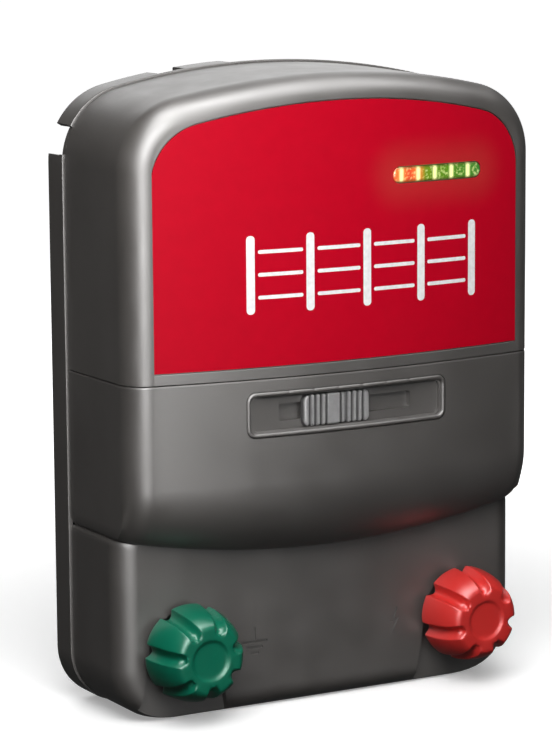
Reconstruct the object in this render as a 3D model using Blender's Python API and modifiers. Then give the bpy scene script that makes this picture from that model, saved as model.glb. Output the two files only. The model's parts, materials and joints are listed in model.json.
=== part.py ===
"""Fence energizer: a wall-hung or free-standing electric fence charger.

The frame stands on z = 0, +Z is up, -Y is the front and x = 0 is the middle of the case.
Depths are measured forward from the rear plane of the case, which lies at y = REAR_Y.
"""
import math

import bmesh
import bpy
from mathutils import Matrix, Vector

MM = 0.001

# Case envelope
WIDTH = 190 * MM
HEIGHT = 260.5 * MM
OVERALL_DEPTH = 78 * MM
REAR_Y = OVERALL_DEPTH / 2
ARCH_RADIUS = 320 * MM
CORNER_RADIUS = 31 * MM
FOOT_RADIUS = 23.5 * MM
GAP = 0.3 * MM

# Rear case
TRAY_DEPTH = 13.2 * MM
BACK_WALL = 2.5 * MM
SKIRT_WALL = 2.5 * MM
CHANNEL_INNER = 10 * MM
CAVITY_INSET = 12.5 * MM
LAND = 3.2 * MM
GASKET_INSET = 1.9 * MM
GASKET_WIDTH = 1.4 * MM
NOTCH_ANGLES = (math.radians(6.5), math.radians(30))
TOP_NOTCHES = ((-50 * MM, -38 * MM), (-17 * MM, 71 * MM))

# Front covers
COVER_REAR = TRAY_DEPTH + GAP
COVER_INSET = 1 * MM
WALL = 2.6 * MM
FRONT_DEPTH = 77.4 * MM
FRONT_RADIUS = 450 * MM
EDGE_RADIUS = 10 * MM
EDGE_DEPTH = 11.5 * MM
TOP_FALL = 1.5 * MM
SEAM_Z = 139.8 * MM

# Lower cover: the bulge curves in to a set-back terminal panel
PANEL_DEPTH = 54.7 * MM
PANEL_INSET = 1.2 * MM
PANEL_EDGE_RADIUS = 9 * MM
SILL_RADIUS = 8 * MM
BULGE_FRONT_Z = 98 * MM
BULGE_SIDE_Z = 82 * MM
STEP_LOW_Z = 65.5 * MM
STEP_RISE = 11.4 * MM
GROOVE_INSET = 2 * MM

# Label and indicator bar
LABEL_HALF = 84.2 * MM
LABEL_LOW_Z = 144.4 * MM
LABEL_TOP_Z = 247.9 * MM
LABEL_ARCH_RADIUS = 300 * MM
LABEL_CORNER_RADIUS = 24 * MM
LABEL_THICKNESS = 0.5 * MM
LABEL_SINK = 0.3 * MM
LAMP_X = 42.6 * MM
LAMP_Z = 216.8 * MM
LAMP_LENGTH = 44 * MM
LAMP_HEIGHT = 6.3 * MM
LENS_FRONT = -0.4 * MM
LENS_REAR = -3.4 * MM
CELL_DEPTHS = (65.5 * MM, 69 * MM)
CELL_COLOURS = [(0.9, 0.05, 0.02), (0.95, 0.3, 0.03)] + [(0.3, 0.75, 0.08)] * 4

# Mode switch
SWITCH_Z = 125.2 * MM
BEZEL_LENGTH = 92.6 * MM
BEZEL_HEIGHT = 18.4 * MM
BEZEL_RADIUS = 4 * MM
BEZEL_LIFT = 0.4 * MM
BEZEL_RECESS = 0.9 * MM
THUMB_FRONT = 76.3 * MM
SLIDER_GROOVE = 1.1 * MM
TRACK_LENGTH = 87 * MM
TRACK_HEIGHT = 13.8 * MM
TRACK_FLOOR = 73 * MM
SLOT_LENGTH = 61 * MM
SLOT_HEIGHT = 6.9 * MM
MODE_PITCH = 11.2 * MM
THUMB_LENGTH = 30.6 * MM
THUMB_HEIGHT = 12.6 * MM
THUMB_X = -0.5 * MODE_PITCH

# Terminals
TERMINAL_X = 64.8 * MM
TERMINAL_Z = 29.5 * MM
RECESS_RADIUS = 15.5 * MM
RECESS_FOOT = 20 * MM
RECESS_Z = 30 * MM
RECESS_FLOOR = 51.2 * MM
PAD_THICKNESS = 3.4 * MM
STUD_RADIUS = 3.85 * MM
STUD_FRONT = 73 * MM
WASHER_REAR = 55.6 * MM
WASHER_RADIUS = 11 * MM
KNOB_REAR = 57.5 * MM
KNOB_RADIUS = 19.5 * MM
KNOB_LOBES = 7
GROOVE_PHASE = {-1: math.radians(172.5), 1: math.radians(195)}

# Screws that hold the covers to the rear case
SCREW_PLACES = [(72 * MM, 62 * MM), (80 * MM, 165 * MM), (58 * MM, 231 * MM)]
SCREW_RADIUS = 1.5 * MM
SCREW_HOLE = 1.8 * MM
SCREW_END = 30 * MM
SCREW_HEAD = 3.2 * MM
HEAD_DEPTHS = (2.4 * MM, 5 * MM)
HEAD_POCKET = 3.6 * MM
POST_RADIUS = 4.2 * MM
BOSS_RADIUS = 5 * MM

# Keyholes in the back for two wall screws
KEYHOLES = (52 * MM, 218 * MM)
KEY_ENTRY = 5 * MM
KEY_SLOT = 2.6 * MM
KEY_HEAD = 4.8 * MM
KEY_RISE = 8 * MM
KEY_LIP = 3 * MM
KEY_DEPTH = 8 * MM

# Engraved marks beside the terminals
MARK_Z = 28.6 * MM
EARTH_MARK_X = -32.4 * MM
BOLT_MARK_X = 34.2 * MM
MARK_DEPTH = 0.4 * MM

# Parts inside
BOARD_THICKNESS = 1.6 * MM
LEAD_RADIUS = 1.5 * MM

COLOURS = {
    "case_grey": ((0.060, 0.056, 0.053), 0.45, 0.0),
    "label_red": ((0.62, 0.012, 0.030), 0.35, 0.0),
    "lens_clear": ((0.85, 0.9, 0.85), 0.1, 0.0),
    "knob_green": ((0.0, 0.16, 0.085), 0.35, 0.0),
    "knob_red": ((0.52, 0.022, 0.018), 0.35, 0.0),
    "slider_grey": ((0.20, 0.19, 0.19), 0.4, 0.0),
    "rubber_black": ((0.02, 0.02, 0.02), 0.8, 0.0),
    "board_green": ((0.02, 0.13, 0.05), 0.5, 0.0),
    "steel": ((0.6, 0.6, 0.6), 0.3, 1.0),
    "brass": ((0.72, 0.52, 0.2), 0.3, 1.0),
    "copper": ((0.75, 0.33, 0.16), 0.35, 1.0),
    "core_grey": ((0.16, 0.15, 0.15), 0.5, 0.6),
    "aluminium": ((0.75, 0.76, 0.77), 0.35, 1.0),
    "can_blue": ((0.03, 0.06, 0.22), 0.35, 0.0),
    "plastic_black": ((0.02, 0.02, 0.022), 0.4, 0.0),
    "wire_red": ((0.5, 0.02, 0.02), 0.45, 0.0),
    "wire_green": ((0.02, 0.25, 0.07), 0.45, 0.0),
}
for cell_number, cell_colour in enumerate(CELL_COLOURS, 1):
    COLOURS[f"lamp_cell_{cell_number}_light"] = (cell_colour, 0.3, 0.0)


# Scene set-up -------------------------------------------------------------------------------

def clear_scene():
    for old in list(bpy.data.objects):
        bpy.data.objects.remove(old, do_unlink=True)


def new_collection(name):
    collection = bpy.data.collections.new(name)
    bpy.context.scene.collection.children.link(collection)
    return collection


clear_scene()
PARTS = new_collection("fence_energizer")
CUTTERS = new_collection("cutters")


def material(name):
    """The material of a finish, made the first time it is asked for."""
    existing = bpy.data.materials.get(name)
    if existing:
        return existing
    colour, roughness, metallic = COLOURS[name]
    made = bpy.data.materials.new(name)
    made.use_nodes = True
    shader = made.node_tree.nodes["Principled BSDF"]
    shader.inputs["Base Color"].default_value = (*colour, 1)
    shader.inputs["Roughness"].default_value = roughness
    shader.inputs["Metallic"].default_value = metallic
    return made


def add_mesh(name, mesh, collection):
    made = bpy.data.objects.new(name, mesh)
    collection.objects.link(made)
    return made


def as_part(piece, name, finish):
    """Give a solid its node name and its material."""
    for user in list(piece.users_collection):
        user.objects.unlink(piece)
    PARTS.objects.link(piece)
    piece.name = name
    piece.data.name = name
    piece.data.materials.clear()
    piece.data.materials.append(material(finish))
    return piece


def as_cutter(piece):
    """Keep a solid only as an operand of a boolean."""
    for user in list(piece.users_collection):
        user.objects.unlink(piece)
    CUTTERS.objects.link(piece)
    piece.hide_render = True
    piece.display_type = "WIRE"
    return piece


def combine(target, other, operation):
    modifier = target.modifiers.new(other.name, "BOOLEAN")
    modifier.operation = operation
    modifier.object = as_cutter(other)
    modifier.solver = "EXACT"
    return target


def cut(target, *others):
    for other in others:
        combine(target, other, "DIFFERENCE")
    return target


def join(target, *others):
    for other in others:
        combine(target, other, "UNION")
    return target


# Basic solids -------------------------------------------------------------------------------

def from_bmesh(name, shape):
    mesh = bpy.data.meshes.new(name)
    shape.to_mesh(mesh)
    shape.free()
    return add_mesh(name, mesh, PARTS)


def closed_body(name, shape):
    """A mesh object from hand-laid or welded faces, with its faces turned outwards."""
    bmesh.ops.recalc_face_normals(shape, faces=shape.faces)
    if shape.calc_volume(signed=True) < 0:
        bmesh.ops.reverse_faces(shape, faces=shape.faces)
    return from_bmesh(name, shape)


def box(name, low, high):
    """A block between two corners given as x, depth, z."""
    shape = bmesh.new()
    bmesh.ops.create_cube(shape, size=1)
    size = [abs(h - l) for l, h in zip(low, high)]
    bmesh.ops.scale(shape, vec=size, verts=shape.verts)
    middle = ((low[0] + high[0]) / 2, REAR_Y - (low[1] + high[1]) / 2, (low[2] + high[2]) / 2)
    bmesh.ops.translate(shape, vec=middle, verts=shape.verts)
    return from_bmesh(name, shape)


def rod(name, centre_xz, depths, radius, sides=24):
    """A cylinder along the depth, from the first depth to the second."""
    shape = bmesh.new()
    length = depths[1] - depths[0]
    bmesh.ops.create_cone(shape, cap_ends=True, segments=sides, radius1=radius,
                          radius2=radius, depth=length)
    bmesh.ops.rotate(shape, verts=shape.verts, matrix=Matrix.Rotation(math.pi / 2, 3, "X"))
    middle = (centre_xz[0], REAR_Y - (depths[0] + depths[1]) / 2, centre_xz[1])
    bmesh.ops.translate(shape, vec=middle, verts=shape.verts)
    return from_bmesh(name, shape)


def post(name, place, bottom, top, radius, sides=24):
    """An upright cylinder at x, depth."""
    shape = bmesh.new()
    bmesh.ops.create_cone(shape, cap_ends=True, segments=sides, radius1=radius,
                          radius2=radius, depth=top - bottom)
    middle = (place[0], REAR_Y - place[1], (bottom + top) / 2)
    bmesh.ops.translate(shape, vec=middle, verts=shape.verts)
    return from_bmesh(name, shape)


def plate(name, outlines, depths):
    """A flat plate: outlines of x, z points, where an inner outline is a hole."""
    curve = bpy.data.curves.new(name, "CURVE")
    curve.dimensions = "2D"
    curve.fill_mode = "BOTH"
    curve.extrude = (depths[1] - depths[0]) / 2
    for outline in outlines:
        spline = curve.splines.new("POLY")
        spline.points.add(len(outline) - 1)
        for point, (x, z) in zip(spline.points, outline):
            point.co = (x, z, 0, 1)
        spline.use_cyclic_u = True
    flat = bpy.data.objects.new(name, curve)
    CUTTERS.objects.link(flat)
    flat.rotation_euler = (math.pi / 2, 0, 0)
    flat.location = (0, REAR_Y - (depths[0] + depths[1]) / 2, 0)
    return curve_to_mesh(flat, name)


def curve_to_mesh(source, name):
    """Turn a curve object into a welded mesh object and remove the curve."""
    bpy.context.view_layer.update()
    graph = bpy.context.evaluated_depsgraph_get()
    mesh = bpy.data.meshes.new_from_object(source.evaluated_get(graph))
    mesh.transform(source.matrix_world)
    bpy.data.objects.remove(source, do_unlink=True)
    shape = bmesh.new()
    shape.from_mesh(mesh)
    bmesh.ops.remove_doubles(shape, verts=shape.verts, dist=1e-6)
    bpy.data.meshes.remove(mesh)
    return closed_body(name, shape)


def wire(name, points, radius):
    """An insulated lead along points given as x, depth, z."""
    curve = bpy.data.curves.new(name, "CURVE")
    curve.dimensions = "3D"
    curve.bevel_depth = radius
    curve.bevel_resolution = 2
    curve.use_fill_caps = True
    spline = curve.splines.new("POLY")
    spline.points.add(len(points) - 1)
    for point, (x, depth, z) in zip(spline.points, points):
        point.co = (x, REAR_Y - depth, z, 1)
    lead = bpy.data.objects.new(name, curve)
    CUTTERS.objects.link(lead)
    return curve_to_mesh(lead, name)


def turned(name, profile, centre_xz, sides):
    """A solid turned about a depth axis; the profile is radius, depth, from front to rear."""
    mesh = bpy.data.meshes.new(name)
    points = [(radius, 0, depth) for radius, depth in profile]
    edges = [(i, i + 1) for i in range(len(points) - 1)]
    mesh.from_pydata(points, edges, [])
    piece = add_mesh(name, mesh, CUTTERS)
    screw = piece.modifiers.new("turn", "SCREW")
    screw.steps = sides
    screw.render_steps = sides
    screw.use_merge_vertices = True
    screw.merge_threshold = 0.00001
    piece.rotation_euler = (math.pi / 2, 0, 0)
    piece.location = (centre_xz[0], REAR_Y, centre_xz[1])
    return curve_to_mesh(piece, name)


# Outlines -----------------------------------------------------------------------------------

def arc(centre, radius, start, end, steps):
    """Points of an arc in the x, z plane; angles are in radians from +X."""
    angles = [start + (end - start) * i / steps for i in range(steps + 1)]
    return [(centre[0] + radius * math.cos(a), centre[1] + radius * math.sin(a)) for a in angles]


def arch_centres(half_width, height, arch_radius, corner_radius):
    """Corner centre, arch centre and the angle where the two arcs meet."""
    arch_centre = (0, height - arch_radius)
    corner_x = half_width - corner_radius
    reach = arch_radius - corner_radius
    corner_z = arch_centre[1] + math.sqrt(reach ** 2 - corner_x ** 2)
    meet = math.atan2(corner_z - arch_centre[1], corner_x)
    return (corner_x, corner_z), arch_centre, meet


CORNER_CENTRE, ARCH_CENTRE, MEET = arch_centres(WIDTH / 2, HEIGHT, ARCH_RADIUS, CORNER_RADIUS)


def arch_path(inset, corner_steps=6, arch_steps=5):
    """Points from the right corner over the crown to the left corner."""
    corner = arc(CORNER_CENTRE, CORNER_RADIUS - inset, 0, MEET, corner_steps)
    crown = arc(ARCH_CENTRE, ARCH_RADIUS - inset, MEET, math.pi / 2, arch_steps)
    right = corner + crown[1:]
    left = [(-x, z) for x, z in reversed(right[:-1])]
    return right + left


def case_outline(inset):
    """The whole case outline: round feet, straight sides and the arched top."""
    centre = (WIDTH / 2 - FOOT_RADIUS, FOOT_RADIUS)
    foot = arc(centre, FOOT_RADIUS - inset, -math.pi / 2, 0, 5)
    left_foot = [(-x, z) for x, z in reversed(foot)]
    return foot + arch_path(inset) + left_foot


def slot_outline(centre, length, height, radius=None, steps=5):
    """A rounded slot along x."""
    r = height / 2 if radius is None else radius
    dx = length / 2 - r
    dz = height / 2 - r
    corners = [(dx, -dz, -90), (dx, dz, 0), (-dx, dz, 90), (-dx, -dz, 180)]
    points = []
    for x, z, start in corners:
        begin = math.radians(start)
        points += arc((centre[0] + x, centre[1] + z), r, begin, begin + math.pi / 2, steps)
    return remove_repeats(points)


def remove_repeats(points):
    kept = []
    for point in points:
        if not kept or math.dist(point, kept[-1]) > 1e-7:
            kept.append(point)
    if math.dist(kept[0], kept[-1]) < 1e-7:
        kept.pop()
    return kept


# Bowed front --------------------------------------------------------------------------------

def front_depth(x):
    """Depth of the bowed front face at x."""
    return FRONT_DEPTH - (FRONT_RADIUS - math.sqrt(FRONT_RADIUS ** 2 - x ** 2))


def bowed_slab(name, columns, offsets):
    """A slab that follows the bowed front.

    columns holds x, low z, high z; offsets are the two distances in front of the front face.
    """
    shape = bmesh.new()
    rings = []
    for x, low, high in columns:
        depths = [front_depth(x) + offset for offset in offsets]
        corners = [(low, depths[0]), (high, depths[0]), (high, depths[1]), (low, depths[1])]
        rings.append([shape.verts.new((x, REAR_Y - depth, z)) for z, depth in corners])
    for ring, following in zip(rings, rings[1:]):
        for i in range(4):
            j = (i + 1) % 4
            shape.faces.new((ring[i], ring[j], following[j], following[i]))
    shape.faces.new(rings[0])
    shape.faces.new(reversed(rings[-1]))
    bmesh.ops.remove_doubles(shape, verts=shape.verts, dist=1e-7)
    return closed_body(name, shape)


def label_columns(inset):
    """Columns of the label shape, shrunk by an inset."""
    half = LABEL_HALF
    corner, crown, meet = arch_centres(half, LABEL_TOP_Z, LABEL_ARCH_RADIUS, LABEL_CORNER_RADIUS)
    right = arc(corner, LABEL_CORNER_RADIUS - inset, 0, meet, 7)
    right += arc(crown, LABEL_ARCH_RADIUS - inset, meet, math.pi / 2, 6)[1:]
    top = right + [(-x, z) for x, z in reversed(right[:-1])]
    return [(x, LABEL_LOW_Z + inset, z) for x, z in top]


def slot_columns(centre, length, height, steps=6):
    """Columns of a rounded slot."""
    r = height / 2
    columns = []
    for side in (1, -1):
        angles = [math.pi / 2 * i / steps for i in range(steps + 1)]
        if side < 0:
            angles.reverse()
        for a in angles:
            x = centre[0] + side * (length / 2 - r + r * math.cos(a))
            columns.append((x, centre[1] - r * math.sin(a), centre[1] + r * math.sin(a)))
    return columns


# Covers -------------------------------------------------------------------------------------

def hood(name, skin, low_z, rear, edge_steps=5):
    """Closed body of the upper cover, drawn in from its outer surface by skin."""
    edge = EDGE_RADIUS - skin
    edge_depth = EDGE_DEPTH - skin
    base = COVER_INSET + skin
    front_path = arch_path(base + edge)
    xs = [x for x, z in front_path]
    rings = [[(x, rear, z) for x, z in arch_path(base)]]
    for step in range(edge_steps + 1):
        angle = math.pi / 2 * step / edge_steps
        path = arch_path(base + edge * (1 - math.cos(angle)))
        ring = []
        for (x, z), front_x in zip(path, xs):
            depth = front_depth(front_x) - skin - edge_depth * (1 - math.sin(angle))
            ring.append((x, depth, z - fall(z, depth)))
        rings.append(ring)
    shape = bmesh.new()
    rows = []
    for ring in rings:
        first = (ring[0][0], ring[0][1], low_z)
        last = (ring[-1][0], ring[-1][1], low_z)
        points = [first] + ring + [last]
        rows.append([shape.verts.new((x, REAR_Y - d, z)) for x, d, z in points])
    for row, following in zip(rows, rows[1:]):
        for i in range(len(row) - 1):
            shape.faces.new((row[i], following[i], following[i + 1], row[i + 1]))
    sill = close_front(shape, rows[-1], low_z)
    seam = [row[0] for row in rows] + sill[1:-1] + [row[-1] for row in reversed(rows)]
    shape.faces.new(seam)
    shape.faces.new(rows[0])
    return closed_body(name, shape)


def fall(z, depth):
    """How far the arched top drops at a depth, so that rain runs forward off it."""
    rise = max(0, z - CORNER_CENTRE[1]) / (HEIGHT - CORNER_CENTRE[1])
    reach = max(0, depth - COVER_REAR) / (FRONT_DEPTH - COVER_REAR)
    return TOP_FALL * rise * reach


def close_front(shape, row, low_z):
    """Fill the bowed front with upright strips below the arched row of vertices."""
    inner = row[2:-2]
    sill = [row[0]]
    for vertex in inner:
        sill.append(shape.verts.new((vertex.co.x, vertex.co.y, low_z)))
    sill.append(row[-1])
    arch = row[1:-1]
    for i in range(len(arch) - 1):
        shape.faces.new((sill[i], sill[i + 1], arch[i + 1], arch[i]))
    return sill


def plan_row(half, depth_at, edge, edge_depth, rear, edge_steps=5, front_steps=10):
    """Plan section of the lower cover from the right parting line round to the left."""
    flat = half - edge
    right = [(half, rear, 0.0)]
    for step in range(edge_steps + 1):
        angle = math.pi / 2 * step / edge_steps
        x = flat + edge * math.cos(angle)
        depth = depth_at(flat) - edge_depth * (1 - math.sin(angle))
        right.append((x, depth, math.sin(angle)))
    front = []
    for step in range(1, front_steps):
        x = flat * (1 - 2 * step / front_steps)
        front.append((x, depth_at(x), 1.0))
    left = [(-x, d, b) for x, d, b in reversed(right)]
    return right + front + left


def step_height(x):
    """Height of the line where the bulge meets the terminal panel."""
    return STEP_LOW_Z + STEP_RISE * (x / (WIDTH / 2)) ** 2


def bulge_row(turn, skin, rear):
    """One row round the underside of the bulge; turn runs from 0 to a quarter turn."""
    panel = PANEL_DEPTH - skin
    half = WIDTH / 2 - COVER_INSET - skin
    tuck = GROOVE_INSET * (1 - math.cos(turn))

    def depth_at(x):
        return panel + (front_depth(x) - skin - panel) * math.cos(turn)

    edge_depth = PANEL_EDGE_RADIUS + (EDGE_DEPTH - PANEL_EDGE_RADIUS) * math.cos(turn) - skin
    row = []
    for x, depth, blend in plan_row(half - tuck, depth_at, EDGE_RADIUS - skin, edge_depth, rear):
        start = BULGE_SIDE_Z + (BULGE_FRONT_Z - BULGE_SIDE_Z) * min(1, 2 * blend)
        end = step_height(x) + skin * 0.8
        row.append((x, depth, start - (start - end) * math.sin(turn)))
    return row


def panel_row(half, depth, edge, rear, height_at):
    row = plan_row(half, lambda x: depth, edge, edge, rear)
    return [(x, d, height_at(x)) for x, d, blend in row]


def skirt(name, skin, top_z, rear):
    """Closed body of the lower cover, drawn in from its outer surface by skin."""
    half = WIDTH / 2 - COVER_INSET - skin
    panel_half = WIDTH / 2 - PANEL_INSET - skin
    edge = PANEL_EDGE_RADIUS - skin
    panel = PANEL_DEPTH - skin
    upper = plan_row(half, lambda x: front_depth(x) - skin, EDGE_RADIUS - skin,
                     EDGE_DEPTH - skin, rear)
    rows = [[(x, d, top_z) for x, d, b in upper]]
    turns = 6
    rows += [bulge_row(math.pi / 2 * i / turns, skin, rear) for i in range(turns + 1)]
    for drop, tuck in ((1.2 * MM, 0.6 * MM), (3.6 * MM, 0)):
        rows.append(panel_row(panel_half - tuck, panel, edge, rear,
                              lambda x, d=drop: step_height(x) - d))
    foot_steps = 6
    for i in range(foot_steps + 1):
        angle = math.pi / 2 * i / foot_steps
        foot = FOOT_RADIUS - skin
        z = skin + foot * (1 - math.sin(angle))
        sill = SILL_RADIUS - skin
        lift = max(0, sill - (z - skin))
        back = sill - math.sqrt(sill ** 2 - lift ** 2)
        inset = foot * (1 - math.cos(angle))
        rows.append(panel_row(panel_half - inset, panel - back, edge, rear, lambda x, h=z: h))
    shape = bmesh.new()
    grid = [[shape.verts.new((x, REAR_Y - d, z)) for x, d, z in row] for row in rows]
    for row, following in zip(grid, grid[1:]):
        for i in range(len(row) - 1):
            shape.faces.new((row[i], row[i + 1], following[i + 1], following[i]))
    shape.faces.new(grid[0])
    shape.faces.new(grid[-1])
    right = [row[0] for row in grid]
    left = [row[-1] for row in reversed(grid)]
    shape.faces.new(right + left)
    return closed_body(name, shape)


def screw_places():
    return [(side * x, z) for x, z in SCREW_PLACES for side in (1, -1)]


def cover_post(x, z):
    """A screw post that runs from the parting line to the inside of the front."""
    reach = PANEL_DEPTH - 1 * MM if z < STEP_LOW_Z else front_depth(x) - 1.5 * MM
    return rod("screw_post", (x, z), (COVER_REAR, reach), POST_RADIUS, 14)


def screw_bore(x, z):
    depths = (COVER_REAR - 1 * MM, SCREW_END + 3 * MM)
    return rod("screw_bore", (x, z), depths, SCREW_HOLE, 12)


def make_upper_cover():
    cover = hood("upper_cover", 0, SEAM_Z + GAP / 2, COVER_REAR)
    cut(cover, hood("upper_hollow", WALL, SEAM_Z - 5 * MM, COVER_REAR - 5 * MM))
    for x, z in screw_places():
        if z > SEAM_Z:
            join(cover, cover_post(x, z))
            cut(cover, screw_bore(x, z))
    offsets = (-LABEL_SINK - LABEL_THICKNESS - GAP, 2 * MM)
    cut(cover, bowed_slab("label_recess", label_columns(-GAP), offsets))
    window = slot_outline((LAMP_X, LAMP_Z), LAMP_LENGTH + 2 * GAP, LAMP_HEIGHT + 2 * GAP)
    cut(cover, plate("lamp_window", [window], (60 * MM, 90 * MM)))
    return as_part(cover, "upper_cover", "case_grey")


def make_lower_cover():
    cover = skirt("lower_cover", 0, SEAM_Z - GAP / 2, COVER_REAR)
    cut(cover, skirt("lower_hollow", WALL, SEAM_Z + 5 * MM, COVER_REAR - 5 * MM))
    for x, z in screw_places():
        if z < SEAM_Z:
            join(cover, cover_post(x, z))
            cut(cover, screw_bore(x, z))
    add_switch_recess(cover)
    for side in (-1, 1):
        add_terminal_recess(cover, side)
    add_inlet_hole(cover)
    for mark in earth_marks() + bolt_marks():
        cut(cover, mark)
    return as_part(cover, "lower_cover", "case_grey")


def add_switch_recess(cover):
    """A stepped recess with a slot through its floor, backed by a thick pad."""
    pad = box("switch_pad", (-BEZEL_LENGTH / 2 - 2 * MM, TRACK_FLOOR - 2.6 * MM, 113 * MM),
              (BEZEL_LENGTH / 2 + 2 * MM, TRACK_FLOOR + 0.5 * MM, 137 * MM))
    join(cover, pad)
    bezel = bowed_slab("bezel_recess", bezel_columns(GAP), (-BEZEL_RECESS, 3 * MM))
    track = slot_outline((0, SWITCH_Z), TRACK_LENGTH, TRACK_HEIGHT, 2.4 * MM, 4)
    slot = slot_outline((0, SWITCH_Z), SLOT_LENGTH, SLOT_HEIGHT, 1 * MM, 2)
    cut(cover, bezel)
    cut(cover, plate("track_recess", [track], (TRACK_FLOOR, 90 * MM)))
    cut(cover, plate("slider_slot", [slot], (60 * MM, 90 * MM)))


def bezel_columns(margin):
    """Columns of the rounded rectangle round the switch, enough of them to follow the bow."""
    length, height = BEZEL_LENGTH + 2 * margin, BEZEL_HEIGHT + 2 * margin
    radius = BEZEL_RADIUS + margin
    columns = []
    for x, lift in arc((length / 2 - radius, 0), radius, 0, math.pi / 2, 4):
        columns.append((x, height / 2 - radius + lift))
    columns += [(x * length, height / 2) for x in (0.3, 0.15, 0)]
    columns += [(-x, h) for x, h in reversed(columns[:-1])]
    return [(x, SWITCH_Z - h, SWITCH_Z + h) for x, h in columns]


def make_bezel():
    """The raised frame that lies in a shallow recess round the switch track."""
    bezel = bowed_slab("bezel", bezel_columns(0), (GAP - BEZEL_RECESS, BEZEL_LIFT))
    opening = slot_outline((0, SWITCH_Z), TRACK_LENGTH, TRACK_HEIGHT, 2.4 * MM, 4)
    cut(bezel, plate("bezel_opening", [opening], (60 * MM, 90 * MM)))
    return as_part(bezel, "switch_bezel", "case_grey")


def add_terminal_recess(cover, side):
    """An arched recess, open at the base, that the wire comes up through."""
    x = side * TERMINAL_X
    pad = plate("terminal_pad", [recess_outline(x, 2.2 * MM)],
                (RECESS_FLOOR - PAD_THICKNESS, PANEL_DEPTH - 0.6 * MM))
    combine(pad, skirt("terminal_pad_limit", 0.3 * MM, SEAM_Z, COVER_REAR), "INTERSECT")
    join(cover, pad)
    recess = recess_outline(x, 0)
    cut(cover, plate("terminal_recess", [recess], (RECESS_FLOOR, 70 * MM)))
    cut(cover, rod("stud_hole", (x, TERMINAL_Z), (40 * MM, 60 * MM), STUD_RADIUS + GAP, 20))


def recess_outline(x, margin):
    """An arch that flares on its way down past the base."""
    arch = arc((x, RECESS_Z), RECESS_RADIUS + margin, 0, math.pi, 12)
    foot = RECESS_FOOT + margin
    base = [(x - foot, 2 * MM), (x - foot, -5 * MM), (x + foot, -5 * MM), (x + foot, 2 * MM)]
    return arch + base


def add_inlet_hole(cover):
    hole = box("inlet_hole", (-10.3 * MM, 24.7 * MM, -1 * MM), (10.3 * MM, 36.3 * MM, 8 * MM))
    cut(cover, hole)


def earth_marks():
    """Shallow grooves of the earth symbol beside the earth terminal."""
    depths = (PANEL_DEPTH - MARK_DEPTH, PANEL_DEPTH + 1 * MM)
    x, z = EARTH_MARK_X, MARK_Z
    marks = [box("mark", (x - 0.4 * MM, depths[0], z), (x + 0.4 * MM, depths[1], z + 5.6 * MM))]
    for i, half in enumerate((6 * MM, 4 * MM, 2 * MM)):
        low_z = z - 0.8 * MM - i * 2.3 * MM
        low = (x - half, depths[0], low_z)
        marks.append(box("mark", low, (x + half, depths[1], low_z + 0.8 * MM)))
    return marks


def bolt_marks():
    """Shallow groove of the lightning symbol beside the fence terminal."""
    shape = [(0.6, 5.6), (-2.2, -0.4), (-0.4, -0.4), (-1.0, -5.6), (2.2, 1.0), (0.3, 1.0), (1.6, 5.6)]
    outline = [(BOLT_MARK_X + dx * MM, MARK_Z + dz * MM) for dx, dz in shape]
    return [plate("mark", [outline], (PANEL_DEPTH - MARK_DEPTH, PANEL_DEPTH + 1 * MM))]


# Rear case ----------------------------------------------------------------------------------

def make_rear_case():
    tray = plate("rear_case", [case_outline(0)], (0, TRAY_DEPTH))
    cavity = case_outline(CAVITY_INSET)
    cut(tray, plate("tray_cavity", [cavity], (BACK_WALL, TRAY_DEPTH + 1 * MM)))
    channel = [case_outline(SKIRT_WALL), case_outline(CHANNEL_INNER)]
    cut(tray, plate("hanging_channel", channel, (-1 * MM, TRAY_DEPTH - LAND)))
    groove = [case_outline(GASKET_INSET - GAP), case_outline(GASKET_INSET + GASKET_WIDTH + GAP)]
    cut(tray, plate("gasket_groove", groove, (TRAY_DEPTH - 1.4 * MM, TRAY_DEPTH + 1 * MM)))
    for x, z in screw_places():
        add_tray_boss(tray, x, z)
    for z in KEYHOLES:
        add_keyhole(tray, z)
    for notch in rim_notches():
        cut(tray, notch)
    return as_part(tray, "rear_case", "case_grey")


def add_tray_boss(tray, x, z):
    """A boss for a screw, with its clearance hole and the pocket for its head."""
    boss_depths = (BACK_WALL / 2, TRAY_DEPTH - 0.2 * MM)
    join(tray, rod("tray_boss", (x, z), boss_depths, BOSS_RADIUS, 16))
    cut(tray, rod("screw_hole", (x, z), (-1 * MM, 20 * MM), SCREW_HOLE, 12))
    cut(tray, rod("head_pocket", (x, z), (-1 * MM, HEAD_DEPTHS[1]), HEAD_POCKET, 16))


def rim_notches():
    """Gaps in the rim: one at each shoulder, and two along the top beside the lips."""
    skirt_depths = (-1 * MM, TRAY_DEPTH - LAND + 0.5 * MM)
    full_depths = (-1 * MM, TRAY_DEPTH + 1 * MM)
    notches = []
    for side in (-1, 1):
        behind = shoulder_path(side, 8.5 * MM, 0)
        notches.append(plate("shoulder_notch", [behind], skirt_depths))
        beside = shoulder_path(side, COVER_INSET + GAP, math.radians(0.6))
        notches.append(plate("shoulder_land_notch", [beside], full_depths))
    for left, right in TOP_NOTCHES:
        path = arch_line(left, right, SKIRT_WALL + 1 * MM)
        path += list(reversed(arch_line(left, right, -3 * MM)))
        notches.append(plate("top_notch", [path], skirt_depths))
    return notches


def shoulder_path(side, inset, trim):
    """The part of the rim round a shoulder that a notch takes away, down to an inset."""
    low, high = NOTCH_ANGLES[0] + trim, NOTCH_ANGLES[1] - trim
    inner = arc(CORNER_CENTRE, CORNER_RADIUS - inset, low, high, 3)
    outer = arc(CORNER_CENTRE, CORNER_RADIUS + 3 * MM, low, high, 3)
    return [(side * x, z) for x, z in inner + list(reversed(outer))]


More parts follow.
